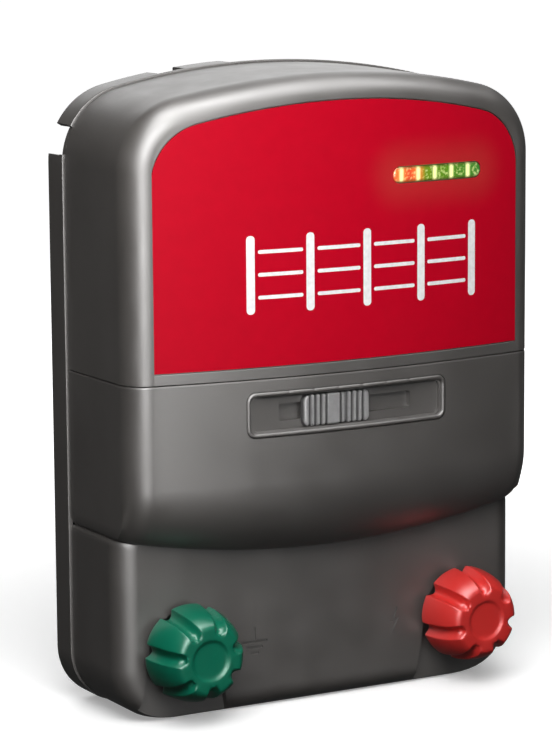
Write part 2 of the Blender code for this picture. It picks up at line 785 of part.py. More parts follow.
def arch_line(left, right, inset, steps=6):
    """Points along the arched top between two x values."""
    radius = ARCH_RADIUS - inset
    xs = [left + (right - left) * i / steps for i in range(steps + 1)]
    return [(x, ARCH_CENTRE[1] + math.sqrt(radius ** 2 - x ** 2)) for x in xs]


def add_keyhole(tray, z):
    """A blind keyhole for a wall screw: a round entry, a slot above it and an undercut."""
    block = box("keyhole_block", (-9 * MM, 1 * MM, z - 10 * MM), (9 * MM, 11 * MM, z + 16 * MM))
    join(tray, block)
    cut(tray, rod("keyhole_entry", (0, z), (-1 * MM, KEY_DEPTH), KEY_ENTRY, 20))
    slot = key_path(z, KEY_SLOT, 6)
    cut(tray, plate("keyhole_slot", [slot], (-1 * MM, KEY_LIP + 1 * MM)))
    cut(tray, plate("keyhole_undercut", [key_path(z, KEY_HEAD, 8)], (KEY_LIP, KEY_DEPTH)))


def key_path(z, half_width, steps):
    """A round-topped slot that rises from the middle of a keyhole's entry."""
    return [(-half_width, z), (half_width, z)] + arc((0, z + KEY_RISE), half_width, 0, math.pi, steps)


def make_gasket():
    rings = [case_outline(GASKET_INSET), case_outline(GASKET_INSET + GASKET_WIDTH)]
    gasket = plate("case_seal", rings, (TRAY_DEPTH - 1.1 * MM, TRAY_DEPTH))
    return as_part(gasket, "case_seal", "rubber_black")


def make_screws():
    for number, (x, z) in enumerate(screw_places(), 1):
        head_rear, seat = HEAD_DEPTHS
        profile = [(0, SCREW_END), (SCREW_RADIUS, SCREW_END), (SCREW_RADIUS, seat - GAP),
                   (SCREW_HEAD, seat - GAP), (SCREW_HEAD, head_rear), (0, head_rear)]
        screw = turned("case_screw", profile, (x, z), 14)
        as_part(screw, f"case_screw_{number}", "steel")


# Front fittings -----------------------------------------------------------------------------

def make_label():
    offsets = (-LABEL_SINK - LABEL_THICKNESS, -LABEL_SINK)
    label = bowed_slab("label", label_columns(0), offsets)
    window = slot_outline((LAMP_X, LAMP_Z), LAMP_LENGTH + 2 * GAP, LAMP_HEIGHT + 2 * GAP)
    cut(label, plate("label_window", [window], (60 * MM, 90 * MM)))
    return as_part(label, "front_label", "label_red")


def make_lens():
    columns = slot_columns((LAMP_X, LAMP_Z), LAMP_LENGTH, LAMP_HEIGHT)
    lens = bowed_slab("lens", columns, (LENS_REAR, LENS_FRONT))
    return as_part(lens, "lamp_lens", "lens_clear")


def make_lamp_cells():
    """Light cells side by side behind the lens, on their own board."""
    count = len(CELL_COLOURS)
    pitch = (LAMP_LENGTH - 4 * MM) / count
    rear, front = CELL_DEPTHS
    for i in range(count):
        low_x = LAMP_X - pitch * count / 2 + i * pitch + GAP
        high_x = low_x + pitch - 2 * GAP
        cell = box("cell", (low_x, rear, LAMP_Z - 2.6 * MM), (high_x, front, LAMP_Z + 2.6 * MM))
        name = f"lamp_cell_{i + 1}"
        as_part(cell, name, name + "_light")
    board = box("lamp_board", (LAMP_X - 26 * MM, rear - GAP - BOARD_THICKNESS, LAMP_Z - 8 * MM),
                (LAMP_X + 26 * MM, rear - GAP, LAMP_Z + 8 * MM))
    as_part(board, "lamp_board", "board_green")


def make_slider():
    """The thumb outside, its neck through the slot, and the carriage behind."""
    low_z, high_z = SWITCH_Z - THUMB_HEIGHT / 2, SWITCH_Z + THUMB_HEIGHT / 2
    rear, front = TRACK_FLOOR + GAP, THUMB_FRONT
    outline = slot_outline((THUMB_X, SWITCH_Z), THUMB_LENGTH, THUMB_HEIGHT, 2 * MM, 3)
    thumb = plate("thumb", [outline], (rear, front))
    for x in thumb_grooves():
        groove = box("groove", (x - 0.7 * MM, front - SLIDER_GROOVE, low_z - 1 * MM),
                     (x + 0.7 * MM, front + 1 * MM, high_z + 1 * MM))
        cut(thumb, groove)
    neck = box("neck", (THUMB_X - 2.2 * MM, 68.2 * MM, SWITCH_Z - 3 * MM),
               (THUMB_X + 2.2 * MM, rear + 0.5 * MM, SWITCH_Z + 3 * MM))
    join(thumb, neck)
    as_part(thumb, "slider_thumb", "slider_grey")
    carriage = box("carriage", (THUMB_X - 9 * MM, 66.6 * MM, SWITCH_Z - 6 * MM),
                   (THUMB_X + 9 * MM, 70 * MM, SWITCH_Z + 6 * MM))
    cut(carriage, box("neck_socket", (THUMB_X - 2.5 * MM, 67.9 * MM, SWITCH_Z - 3.3 * MM),
                      (THUMB_X + 2.5 * MM, 75 * MM, SWITCH_Z + 3.3 * MM)))
    join(carriage, box("drive_pin", (THUMB_X - 1.5 * MM, 62.5 * MM, SWITCH_Z - 1.5 * MM),
                       (THUMB_X + 1.5 * MM, 67 * MM, SWITCH_Z + 1.5 * MM)))
    as_part(carriage, "slider_carriage", "plastic_black")


def thumb_grooves():
    left = [THUMB_X - 12.4 * MM + i * 2.6 * MM for i in range(4)]
    right = [THUMB_X + 4.6 * MM + i * 2.6 * MM for i in range(4)]
    return left + right


def make_slide_switch():
    """The long slide switch that the carriage drives, on its own board."""
    body = box("slide_switch", (-36 * MM, 58 * MM, SWITCH_Z - 5 * MM),
               (36 * MM, 65.4 * MM, SWITCH_Z + 5 * MM))
    cut(body, box("switch_slot", (-31 * MM, 61.5 * MM, SWITCH_Z - 1.9 * MM),
                  (31 * MM, 67 * MM, SWITCH_Z + 1.9 * MM)))
    as_part(body, "slide_switch", "plastic_black")
    board = box("switch_board", (-45 * MM, 56 * MM, SWITCH_Z - 9 * MM),
                (45 * MM, 57.7 * MM, SWITCH_Z + 9 * MM))
    as_part(board, "switch_board", "board_green")


# Terminals ----------------------------------------------------------------------------------

def knob_profile():
    """Radius and depth of the knob from its face, down its side and up its bores."""
    face = OVERALL_DEPTH
    bore_end = face - 2.6 * MM
    insert_end = 71.6 * MM
    return [
        (0, face - 0.9 * MM), (7.2 * MM, face - 0.9 * MM), (8.4 * MM, face),
        (12.8 * MM, face), (14.8 * MM, face - 0.9 * MM), (17.6 * MM, face - 5 * MM),
        (19.1 * MM, face - 11 * MM), (KNOB_RADIUS, face - 17 * MM),
        (18.7 * MM, KNOB_REAR + 0.5 * MM), (17.5 * MM, KNOB_REAR),
        (6.3 * MM, KNOB_REAR), (6.3 * MM, insert_end), (4.4 * MM, insert_end),
        (4.4 * MM, bore_end), (0, bore_end),
    ]


def make_knob(name, side, finish):
    x = side * TERMINAL_X
    knob = turned(name, knob_profile(), (x, TERMINAL_Z), 42)
    for i in range(KNOB_LOBES):
        cut(knob, knob_groove(x, GROOVE_PHASE[side] + 2 * math.pi * i / KNOB_LOBES))
    knob = as_part(knob, name, finish)
    set_origin(knob, (x, REAR_Y - KNOB_REAR, TERMINAL_Z))


def knob_groove(x, angle):
    """A round groove down the side of the knob, leaning in towards the face."""
    shape = bmesh.new()
    bmesh.ops.create_cone(shape, cap_ends=True, segments=10, radius1=2.9 * MM,
                          radius2=2.9 * MM, depth=32 * MM)
    lean = Matrix.Rotation(math.radians(-15), 4, "Y")
    out = Matrix.Translation((18.9 * MM, 0, 0))
    turn = Matrix.Rotation(angle, 4, "Z")
    forward = Matrix.Rotation(math.pi / 2, 4, "X")
    middle_depth = OVERALL_DEPTH - 9 * MM
    place = Matrix.Translation((x, REAR_Y - middle_depth, TERMINAL_Z))
    shape.transform(place @ forward @ turn @ out @ lean)
    return from_bmesh("knob_groove", shape)


def set_origin(piece, point):
    """Move the origin to a point without moving the mesh."""
    offset = Vector(point)
    piece.data.transform(Matrix.Translation(-offset))
    piece.location = offset


def make_terminal(label, side, knob_finish):
    x = side * TERMINAL_X
    place = (x, TERMINAL_Z)
    make_knob(f"{label}_knob", side, knob_finish)
    insert = [(5.9 * MM, 71.2 * MM), (5.9 * MM, KNOB_REAR + GAP),
              (STUD_RADIUS + GAP, KNOB_REAR + GAP), (STUD_RADIUS + GAP, 71.2 * MM),
              (5.9 * MM, 71.2 * MM)]
    as_part(turned("insert", insert, place, 20), f"{label}_insert", "brass")
    washer = [(WASHER_RADIUS, WASHER_REAR + 1.5 * MM), (WASHER_RADIUS, WASHER_REAR),
              (STUD_RADIUS + GAP, WASHER_REAR), (STUD_RADIUS + GAP, WASHER_REAR + 1.5 * MM),
              (WASHER_RADIUS, WASHER_REAR + 1.5 * MM)]
    as_part(turned("washer", washer, place, 24), f"{label}_washer", "steel")
    stud = [(0, STUD_FRONT), (STUD_RADIUS - 0.8 * MM, STUD_FRONT),
            (STUD_RADIUS, STUD_FRONT - 0.8 * MM), (STUD_RADIUS, WASHER_REAR - GAP),
            (9 * MM, WASHER_REAR - GAP), (9 * MM, 52.6 * MM), (STUD_RADIUS, 52.6 * MM),
            (STUD_RADIUS, 36 * MM), (0, 36 * MM)]
    as_part(turned("stud", stud, place, 18), f"{label}_stud", "steel")
    seal = [(8 * MM, 52.3 * MM), (8 * MM, RECESS_FLOOR + GAP),
            (STUD_RADIUS + GAP, RECESS_FLOOR + GAP), (STUD_RADIUS + GAP, 52.3 * MM),
            (8 * MM, 52.3 * MM)]
    as_part(turned("seal", seal, place, 20), f"{label}_seal", "rubber_black")
    nut_front = RECESS_FLOOR - PAD_THICKNESS - GAP
    nut = rod("nut", place, (nut_front - 4.4 * MM, nut_front), 7.5 * MM, 6)
    cut(nut, rod("nut_bore", place, (40 * MM, 50 * MM), STUD_RADIUS + GAP, 16))
    as_part(nut, f"{label}_nut", "brass")


# Inside parts -------------------------------------------------------------------------------

def make_boards():
    board = plate("main_board", [board_outline()], (15 * MM, 15 * MM + BOARD_THICKNESS))
    as_part(board, "main_board", "board_green")


def board_outline():
    half, low, high = 66 * MM, 40 * MM, 228 * MM
    return [(-half, low), (half, low), (half, high - 12 * MM), (half - 12 * MM, high),
            (-half + 12 * MM, high), (-half, high - 12 * MM)]


def make_transformer():
    """A wound coil between the limbs of a laminated core."""
    core = box("core", (-30 * MM, 18 * MM, 76 * MM), (30 * MM, 42 * MM, 112 * MM))
    for side in (-1, 1):
        low = (side * 9 * MM, 10 * MM, 84 * MM)
        cut(core, box("core_window", low, (side * 22 * MM, 50 * MM, 104 * MM)))
    as_part(core, "output_transformer_core", "core_grey")
    coil = box("coil", (-21.7 * MM, 17.2 * MM, 84.3 * MM), (21.7 * MM, 47 * MM, 103.7 * MM))
    cut(coil, box("coil_core", (-9.3 * MM, 17.7 * MM, 80 * MM), (9.3 * MM, 42.3 * MM, 110 * MM)))
    as_part(coil, "output_transformer_coil", "copper")


def make_capacitors():
    for number, x in enumerate((-42 * MM, 0, 42 * MM), 1):
        can = rod("capacitor", (x, 178 * MM), (17 * MM, 58 * MM), 16.5 * MM, 28)
        as_part(can, f"storage_capacitor_{number}", "can_blue")


def make_choke():
    """A wound ring on the board."""
    ring = [(11 * MM, 29 * MM), (11 * MM, 17 * MM), (5 * MM, 17 * MM), (5 * MM, 29 * MM),
            (11 * MM, 29 * MM)]
    as_part(turned("choke", ring, (48 * MM, 138 * MM), 24), "charging_choke", "copper")


def make_thyristor():
    fins = box("heat_sink", (-60 * MM, 17 * MM, 124 * MM), (-36 * MM, 40 * MM, 150 * MM))
    for i in range(4):
        low_x = -57 * MM + i * 5.4 * MM
        cut(fins, box("fin_gap", (low_x, 22 * MM, 120 * MM), (low_x + 3 * MM, 45 * MM, 155 * MM)))
    as_part(fins, "heat_sink", "aluminium")
    body = box("thyristor", (-35.6 * MM, 18 * MM, 132 * MM), (-31 * MM, 28 * MM, 147 * MM))
    as_part(body, "thyristor", "plastic_black")


def make_inlet():
    """A two-pin power socket let into the base."""
    body = box("inlet", (-10 * MM, 25 * MM, 0.6 * MM), (10 * MM, 36 * MM, 16 * MM))
    cut(body, box("inlet_mouth", (-8 * MM, 26.8 * MM, -1 * MM), (8 * MM, 34.2 * MM, 11 * MM)))
    for side in (-1, 1):
        join(body, post("pin", (side * 5.5 * MM, 30.5 * MM), 2.5 * MM, 12 * MM, 0.8 * MM, 10))
    as_part(body, "power_inlet", "plastic_black")


def smooth_route(points, spacing):
    """A Catmull-Rom curve through the points, sampled about every spacing."""
    padded = [points[0]] + points + [points[-1]]
    route = []
    for a, b, c, d in zip(padded, padded[1:], padded[2:], padded[3:]):
        count = max(2, round(math.dist(b, c) / spacing))
        for i in range(count):
            t = i / count
            route.append(tuple(blend(pa, pb, pc, pd, t) for pa, pb, pc, pd in zip(a, b, c, d)))
    route.append(points[-1])
    return route


def blend(a, b, c, d, t):
    return 0.5 * (2 * b + (c - a) * t + (2 * a - 5 * b + 4 * c - d) * t ** 2
                  + (3 * b - a - 3 * c + d) * t ** 3)


def make_leads():
    """Insulated leads from the output transformer to the studs."""
    for label, side in (("earth", -1), ("fence", 1)):
        start = (side * 24.5 * MM, 46 * MM, 95 * MM)
        mid = (side * 37 * MM, 46 * MM, 82 * MM)
        low = (side * 56 * MM, 40 * MM, 54 * MM)
        end = (side * TERMINAL_X, 39 * MM, TERMINAL_Z + 5.8 * MM)
        route = smooth_route([start, mid, low, end], 4 * MM)
        lead = wire("lead", route, LEAD_RADIUS)
        finish = "wire_green" if side < 0 else "wire_red"
        as_part(lead, f"{label}_lead", finish)


# Assembly -----------------------------------------------------------------------------------

def build():
    make_rear_case()
    make_gasket()
    make_upper_cover()
    make_lower_cover()
    make_screws()
    make_label()
    make_lens()
    make_lamp_cells()
    make_bezel()
    make_slider()
    make_slide_switch()
    make_terminal("earth", -1, "knob_green")
    make_terminal("fence", 1, "knob_red")
    make_boards()
    make_transformer()
    make_capacitors()
    make_choke()
    make_thyristor()
    make_inlet()
    make_leads()


build()
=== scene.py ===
"""Looks of the fence energizer: smooth shells, fittings, materials, light and camera.

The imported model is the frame. Every shell here repeats the size of the solid it stands for,
with finer curves, rounded edges and moulded detail.
"""

import json
import math

import bmesh
import bpy
from mathutils import Matrix, Vector


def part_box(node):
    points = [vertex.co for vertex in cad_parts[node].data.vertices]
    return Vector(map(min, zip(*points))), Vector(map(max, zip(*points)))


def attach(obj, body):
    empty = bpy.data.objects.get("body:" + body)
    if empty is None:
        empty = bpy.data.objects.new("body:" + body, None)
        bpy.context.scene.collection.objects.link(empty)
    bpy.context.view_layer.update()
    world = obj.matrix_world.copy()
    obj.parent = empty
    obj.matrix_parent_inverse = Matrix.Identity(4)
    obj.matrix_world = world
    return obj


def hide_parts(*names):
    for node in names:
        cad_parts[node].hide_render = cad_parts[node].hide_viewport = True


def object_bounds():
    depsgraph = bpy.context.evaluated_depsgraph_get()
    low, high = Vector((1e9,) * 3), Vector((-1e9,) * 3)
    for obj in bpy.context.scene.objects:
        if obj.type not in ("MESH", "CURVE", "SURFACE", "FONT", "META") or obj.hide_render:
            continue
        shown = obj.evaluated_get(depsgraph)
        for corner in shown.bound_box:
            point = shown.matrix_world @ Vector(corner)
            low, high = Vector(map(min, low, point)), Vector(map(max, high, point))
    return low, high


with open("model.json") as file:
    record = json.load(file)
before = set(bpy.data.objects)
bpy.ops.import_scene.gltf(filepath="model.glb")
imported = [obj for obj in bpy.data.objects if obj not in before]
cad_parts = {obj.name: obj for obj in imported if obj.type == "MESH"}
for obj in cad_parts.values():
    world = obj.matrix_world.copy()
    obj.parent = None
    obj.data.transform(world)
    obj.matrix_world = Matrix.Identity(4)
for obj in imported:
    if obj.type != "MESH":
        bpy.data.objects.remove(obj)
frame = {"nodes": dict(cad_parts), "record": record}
CAD_BOX = [list(corner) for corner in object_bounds()]

MM = 0.001


def middle(node):
    """The middle of a node's box."""
    low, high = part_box(node)
    return (low + high) / 2


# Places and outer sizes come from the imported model.
LOW, HIGH = (Vector(corner) for corner in CAD_BOX)
WIDTH = HIGH.x - LOW.x
HEIGHT = HIGH.z - LOW.z
REAR_Y = HIGH.y
UPPER_LOW, UPPER_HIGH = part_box("upper_cover")
LOWER_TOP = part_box("lower_cover")[1].z
TRAY_DEPTH = REAR_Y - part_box("rear_case")[0].y
COVER_REAR = REAR_Y - UPPER_HIGH.y
COVER_INSET = WIDTH / 2 - UPPER_HIGH.x
FRONT_DEPTH = REAR_Y - UPPER_LOW.y
SEAM_Z = (UPPER_LOW.z + LOWER_TOP) / 2
GAP = UPPER_LOW.z - LOWER_TOP
LABEL_LOW, LABEL_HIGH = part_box("front_label")
LAMP_LOW, LAMP_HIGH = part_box("lamp_lens")
LAMP_X, LAMP_Z = middle("lamp_lens").x, middle("lamp_lens").z
LAMP_LENGTH = LAMP_HIGH.x - LAMP_LOW.x
LAMP_HEIGHT = LAMP_HIGH.z - LAMP_LOW.z
BEZEL_LOW, BEZEL_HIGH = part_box("switch_bezel")
SWITCH_Z = middle("switch_bezel").z
BEZEL_LENGTH = BEZEL_HIGH.x - BEZEL_LOW.x
BEZEL_HEIGHT = BEZEL_HIGH.z - BEZEL_LOW.z
THUMB_LOW, THUMB_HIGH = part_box("slider_thumb")
THUMB_X = middle("slider_thumb").x
THUMB_LENGTH = THUMB_HIGH.x - THUMB_LOW.x
THUMB_HEIGHT = THUMB_HIGH.z - THUMB_LOW.z
THUMB_FRONT = REAR_Y - THUMB_LOW.y
TERMINAL_X, TERMINAL_Z = middle("fence_washer").x, middle("fence_washer").z
KNOB_FACE = REAR_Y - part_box("fence_knob")[0].y

# Radii and moulded details of the case.
ARCH_RADIUS = 320 * MM
CORNER_RADIUS = 31 * MM
FOOT_RADIUS = 23.5 * MM
SKIRT_WALL = 2.5 * MM
CHANNEL_INNER = 10 * MM
LAND = 3.2 * MM
FRONT_RADIUS = 450 * MM
EDGE_RADIUS = 10 * MM
EDGE_DEPTH = 11.5 * MM
TOP_FALL = 1.5 * MM
PANEL_DEPTH = 54.7 * MM
PANEL_INSET = 1.2 * MM
PANEL_EDGE_RADIUS = 9 * MM
SILL_RADIUS = 8 * MM
BULGE_FRONT_Z = 98 * MM
BULGE_SIDE_Z = 82 * MM
STEP_LOW_Z = 65.5 * MM
STEP_RISE = 11.4 * MM
GROOVE_INSET = 2 * MM
NOTCH_ANGLES = (math.radians(6.5), math.radians(30))
TOP_NOTCHES = ((-50 * MM, -38 * MM), (-17 * MM, 71 * MM))
KEYHOLES = (52 * MM, 218 * MM)
KEY_ENTRY = 5 * MM
KEY_SLOT = 2.6 * MM
KEY_HEAD = 4.8 * MM
KEY_RISE = 8 * MM
KEY_LIP = 3 * MM
KEY_DEPTH = 8 * MM
POCKET_RADIUS = 3.6 * MM
POCKET_DEPTH = 5 * MM
SCREW_PLACES = [(72 * MM, 62 * MM), (80 * MM, 165 * MM), (58 * MM, 231 * MM)]
LABEL_ARCH_RADIUS = 300 * MM
LABEL_CORNER_RADIUS = 24 * MM
LABEL_THICKNESS = 0.5 * MM
LABEL_SINK = 0.3 * MM
LABEL_MARGIN = 0.6 * MM
LAMP_REAR = 60 * MM
SIDE_MIDDLE = 40 * MM
SILL_LIP = 0.7 * MM
FILLET_STEPS = 16

# Radii and depths of the fittings.
TRACK_LENGTH = 87 * MM
TRACK_HEIGHT = 13.8 * MM
TRACK_FLOOR = 73 * MM
SLOT_FLOOR = 70.2 * MM
SLOT_LENGTH = 61 * MM
SLOT_HEIGHT = 6.9 * MM
THUMB_RADIUS = 2.6 * MM
BEZEL_RADIUS = 4 * MM
MODE_PITCH = 11.2 * MM
RECESS_RADIUS = 15.5 * MM
RECESS_FOOT = 20 * MM
RECESS_Z = 30 * MM
RECESS_FLOOR = 51.2 * MM
STUD_RADIUS = 3.85 * MM
KNOB_LOBES = 7
KNOB_TURNS = KNOB_LOBES * 60
GROOVE_PHASE = {-1: math.radians(172.5), 1: math.radians(195)}
GROOVE_REACH = 2.9
GROOVE_DEPTH = 3.0
INSERT_RADIUS = 6.4
BORE_RADIUS = 4.5
MARK_Z = 28.6 * MM
MARK_DEPTH = 0.7 * MM
MARK_STROKE = 0.6 * MM
EARTH_MARK_X = -32.4 * MM
BOLT_MARK_X = 34.2 * MM

# Cutters start and end clear of the case.
AHEAD = 90 * MM
BEHIND = -1 * MM

PIECES = bpy.data.collections.new("looks")
bpy.context.scene.collection.children.link(PIECES)
CUTTERS = bpy.data.collections.new("looks_cutters")
bpy.context.scene.collection.children.link(CUTTERS)


# Mesh helpers ----

def add_object(name, shape, collection=None):
    """Turn a bmesh into an object with smooth faces."""
    mesh = bpy.data.meshes.new(name)
    for face in shape.faces:
        face.smooth = True
    shape.to_mesh(mesh)
    shape.free()
    made = bpy.data.objects.new(name, mesh)
    (collection or PIECES).objects.link(made)
    return made


def facing_out(shape):
    """Turn the faces of a closed body outwards."""
    bmesh.ops.recalc_face_normals(shape, faces=shape.faces)
    if shape.calc_volume(signed=True) < 0:
        bmesh.ops.reverse_faces(shape, faces=shape.faces)
    return shape


def bridge(shape, ring, following, closed=True):
    """Quads between two rings of vertices with equal counts."""
    count = len(ring)
    for i in range(count if closed else count - 1):
        j = (i + 1) % count
        shape.faces.new((ring[i], ring[j], following[j], following[i]))


def sharpen(piece, degrees=38):
    """Smooth shading that breaks at edges sharper than an angle, weighted by face size."""
    mesh = piece.data
    shape = bmesh.new()
    shape.from_mesh(mesh)
    limit = math.radians(degrees)
    for edge in shape.edges:
        edge.smooth = edge.calc_face_angle(0) < limit
    shape.to_mesh(mesh)
    shape.free()
    weighted = piece.modifiers.new("weighted", "WEIGHTED_NORMAL")
    weighted.keep_sharp = True
    return piece


def apply_modifiers(piece):
    """Replace a piece's mesh with its evaluated mesh."""
    bpy.context.view_layer.update()
    graph = bpy.context.evaluated_depsgraph_get()
    mesh = bpy.data.meshes.new_from_object(piece.evaluated_get(graph))
    piece.modifiers.clear()
    old = piece.data
    piece.data = mesh
    mesh.name = piece.name
    bpy.data.meshes.remove(old)
    for polygon in mesh.polygons:
        polygon.use_smooth = True


def carve(piece, cutters, operation="DIFFERENCE"):
    """Cut solids out of a piece, or join them to it, and drop the cutters."""
    for cutter in cutters:
        modifier = piece.modifiers.new(cutter.name, "BOOLEAN")
        modifier.operation = operation
        modifier.object = cutter
        modifier.solver = "EXACT"
    apply_modifiers(piece)
    for cutter in cutters:
        bpy.data.objects.remove(cutter, do_unlink=True)


def lay_rows(shape, rings, closed=True):
    """Vertices for rings of x, depth, z points, with quads from each ring to the next."""
    rows = [[shape.verts.new((x, REAR_Y - d, z)) for x, d, z in ring] for ring in rings]
    for row, following in zip(rows, rows[1:]):
        bridge(shape, row, following, closed)
    return rows


def stack(name, rings, collection=None):
    """A closed body through rings of x, depth, z points, capped at both ends."""
    shape = bmesh.new()
    rows = lay_rows(shape, rings)
    shape.faces.new(rows[0])
    shape.faces.new(rows[-1])
    return add_object(name, facing_out(shape), collection)


def prism(name, outline, depths):
    """A cutter between two depths with an outline of x, z points."""
    return stack(name, [[(x, depth, z) for x, z in outline] for depth in depths], CUTTERS)


# Outlines ----

def arc(centre, radius, start, end, steps):
    """Points of an arc in the x, z plane; angles are in radians from +X."""
    angles = [start + (end - start) * i / steps for i in range(steps + 1)]
    return [(centre[0] + radius * math.cos(a), centre[1] + radius * math.sin(a)) for a in angles]


def arch_centres(half_width, height, arch_radius, corner_radius):
    """Corner centre, arch centre and the angle where the two arcs meet."""
    arch_centre = (0, height - arch_radius)
    corner_x = half_width - corner_radius
    reach = arch_radius - corner_radius
    corner_z = arch_centre[1] + math.sqrt(reach ** 2 - corner_x ** 2)
    meet = math.atan2(corner_z - arch_centre[1], corner_x)
    return (corner_x, corner_z), arch_centre, meet


CORNER_CENTRE, ARCH_CENTRE, MEET = arch_centres(WIDTH / 2, HEIGHT, ARCH_RADIUS, CORNER_RADIUS)
CORNER_STEPS = 20
CROWN_STEPS = 18


def mirrored(right):
    """A path from the right side to the crown, carried on down the left side."""
    return right + [(-x, z) for x, z in reversed(right[:-1])]


def arch_path(inset):
    """Points from the right corner over the crown to the left corner."""
    corner = arc(CORNER_CENTRE, CORNER_RADIUS - inset, 0, MEET, CORNER_STEPS)
    crown = arc(ARCH_CENTRE, ARCH_RADIUS - inset, MEET, math.pi / 2, CROWN_STEPS)
    return mirrored(corner + crown[1:])


def label_path(inset):
    """The label's top edge, point for point with arch_path."""
    corner, crown, meet = arch_centres(LABEL_HIGH.x, LABEL_HIGH.z, LABEL_ARCH_RADIUS,
                                       LABEL_CORNER_RADIUS)
    right = arc(corner, LABEL_CORNER_RADIUS - inset, 0, meet, CORNER_STEPS)
    right += arc(crown, LABEL_ARCH_RADIUS - inset, meet, math.pi / 2, CROWN_STEPS)[1:]
    return mirrored(right)


def case_outline(inset):
    """The whole case outline: round feet, straight sides and the arched top."""
    centre = (WIDTH / 2 - FOOT_RADIUS, FOOT_RADIUS)
    foot = arc(centre, FOOT_RADIUS - inset, -math.pi / 2, 0, 18)
    left_foot = [(-x, z) for x, z in reversed(foot)]
    return foot + arch_path(inset) + left_foot


def slot_outline(centre, length, height, radius=None, steps=10):
    """A rounded slot along x."""
    r = height / 2 if radius is None else radius
    dx = length / 2 - r
    dz = height / 2 - r
    corners = [(dx, -dz, -90), (dx, dz, 0), (-dx, dz, 90), (-dx, -dz, 180)]
    points = []
    for x, z, start in corners:
        begin = math.radians(start)
        points += arc((centre[0] + x, centre[1] + z), r, begin, begin + math.pi / 2, steps)
    kept = []
    for point in points:
        if not kept or math.dist(point, kept[-1]) > 1e-7:
            kept.append(point)
    if math.dist(kept[0], kept[-1]) < 1e-7:
        kept.pop()
    return kept


def split_long(outline, longest, guide=None):
    """Add points along the long edges of a closed outline, or where its guide is long."""
    guide = guide or outline
    points = []
    ends = zip(outline, outline[1:] + outline[:1], guide, guide[1:] + guide[:1])
    for (x, z), (to_x, to_z), start, end in ends:
        parts = max(1, math.ceil(math.dist(start, end) / longest))
        for i in range(parts):
            points.append((x + (to_x - x) * i / parts, z + (to_z - z) * i / parts))
    return points


def front_depth(x):
    """Depth of the bowed front face at x."""
    return FRONT_DEPTH - (FRONT_RADIUS - math.sqrt(FRONT_RADIUS ** 2 - x ** 2))


def on_front(outline, offset):
    """Points of an outline laid on the bowed front."""
    return [(x, front_depth(x) + offset, z) for x, z in outline]


# Upper shell ----

def fall(z, depth):
    """How far the arched top drops at a depth, so that rain runs forward off it."""
    rise = max(0, z - CORNER_CENTRE[1]) / (HEIGHT - CORNER_CENTRE[1])
    reach = max(0, depth - COVER_REAR) / (FRONT_DEPTH - COVER_REAR)
    return TOP_FALL * rise * reach


def with_sill(path, low_z):
    """Close an arched path with points along a level line, under the same x values."""
    return path + [(point[0], low_z) for point in reversed(path)]


def upper_rings():
    """Rings of the upper shell from its rear edge round to the floor of the label recess."""
    low = SEAM_Z + GAP / 2
    rings = []
    for depth, tuck in ((COVER_REAR, 0.5 * MM), (COVER_REAR + 0.15 * MM, 0.15 * MM),
                        (COVER_REAR + 0.5 * MM, 0), (SIDE_MIDDLE, 0)):
        ring = with_sill(arch_path(COVER_INSET + tuck), low + tuck)
        rings.append([(x, depth, z - fall(z, depth)) for x, z in ring])
    flat = [x for x, z in with_sill(arch_path(COVER_INSET + EDGE_RADIUS), 0)]
    for step in range(FILLET_STEPS + 1):
        angle = math.pi / 2 * step / FILLET_STEPS
        path = arch_path(COVER_INSET + EDGE_RADIUS * (1 - math.cos(angle)))
        ring = []
        for (x, z), front_x in zip(with_sill(path, low), flat):
            depth = front_depth(front_x) - EDGE_DEPTH * (1 - math.sin(angle))
            ring.append((x, depth, z - fall(z, depth)))
        rings.append(ring)
    for level in (0.35, 1.0):
        closer = []
        goal = with_sill(label_path(-LABEL_MARGIN), LABEL_LOW.z - LABEL_MARGIN)
        for (x, depth, z), (to_x, goal_z) in zip(rings[-1], goal):
            new_x = x + (to_x - x) * level
            closer.append((new_x, front_depth(new_x), z + (goal_z - z) * level))
        rings.append(closer)
    rings.insert(-2, [(x, d, z + SILL_LIP * (z < SEAM_Z + MM)) for x, d, z in rings[-3]])
    for spread, drop in ((0.45, 0.05), (0.35, 0.2)):
        ring = label_ring(spread * MM)
        rings.append(on_front(ring, -drop * MM))
    rings.append(on_front(label_ring(0.32 * MM), -LABEL_SINK - LABEL_THICKNESS - GAP))
    return rings


def label_ring(spread):
    """The label's closed outline, spread outwards."""
    return with_sill(label_path(-spread), LABEL_LOW.z - spread)


def close_in_strips(shape, ring):
    """Fill a ring made by with_sill with upright strips."""
    half = len(ring) // 2
    top, sill = ring[:half], list(reversed(ring[half:]))
    for i in range(half - 1):
        shape.faces.new((top[i], top[i + 1], sill[i + 1], sill[i]))


def make_upper_shell():
    """The arched upper cover, with the recess that the label lies in."""
    shape = bmesh.new()
    rows = lay_rows(shape, upper_rings())
    close_in_strips(shape, rows[0])
    close_in_strips(shape, rows[-1])
    shell = add_object("upper_shell", facing_out(shape))
    window = slot_outline((LAMP_X, LAMP_Z), LAMP_LENGTH + 2 * GAP, LAMP_HEIGHT + 2 * GAP)
    carve(shell, [prism("lamp_window", window, (LAMP_REAR, AHEAD))])
    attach(sharpen(shell), "housing")
    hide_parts("upper_cover")
    return shell


# Lower shell ----

EDGE_STEPS = 14
FRONT_STEPS = 44


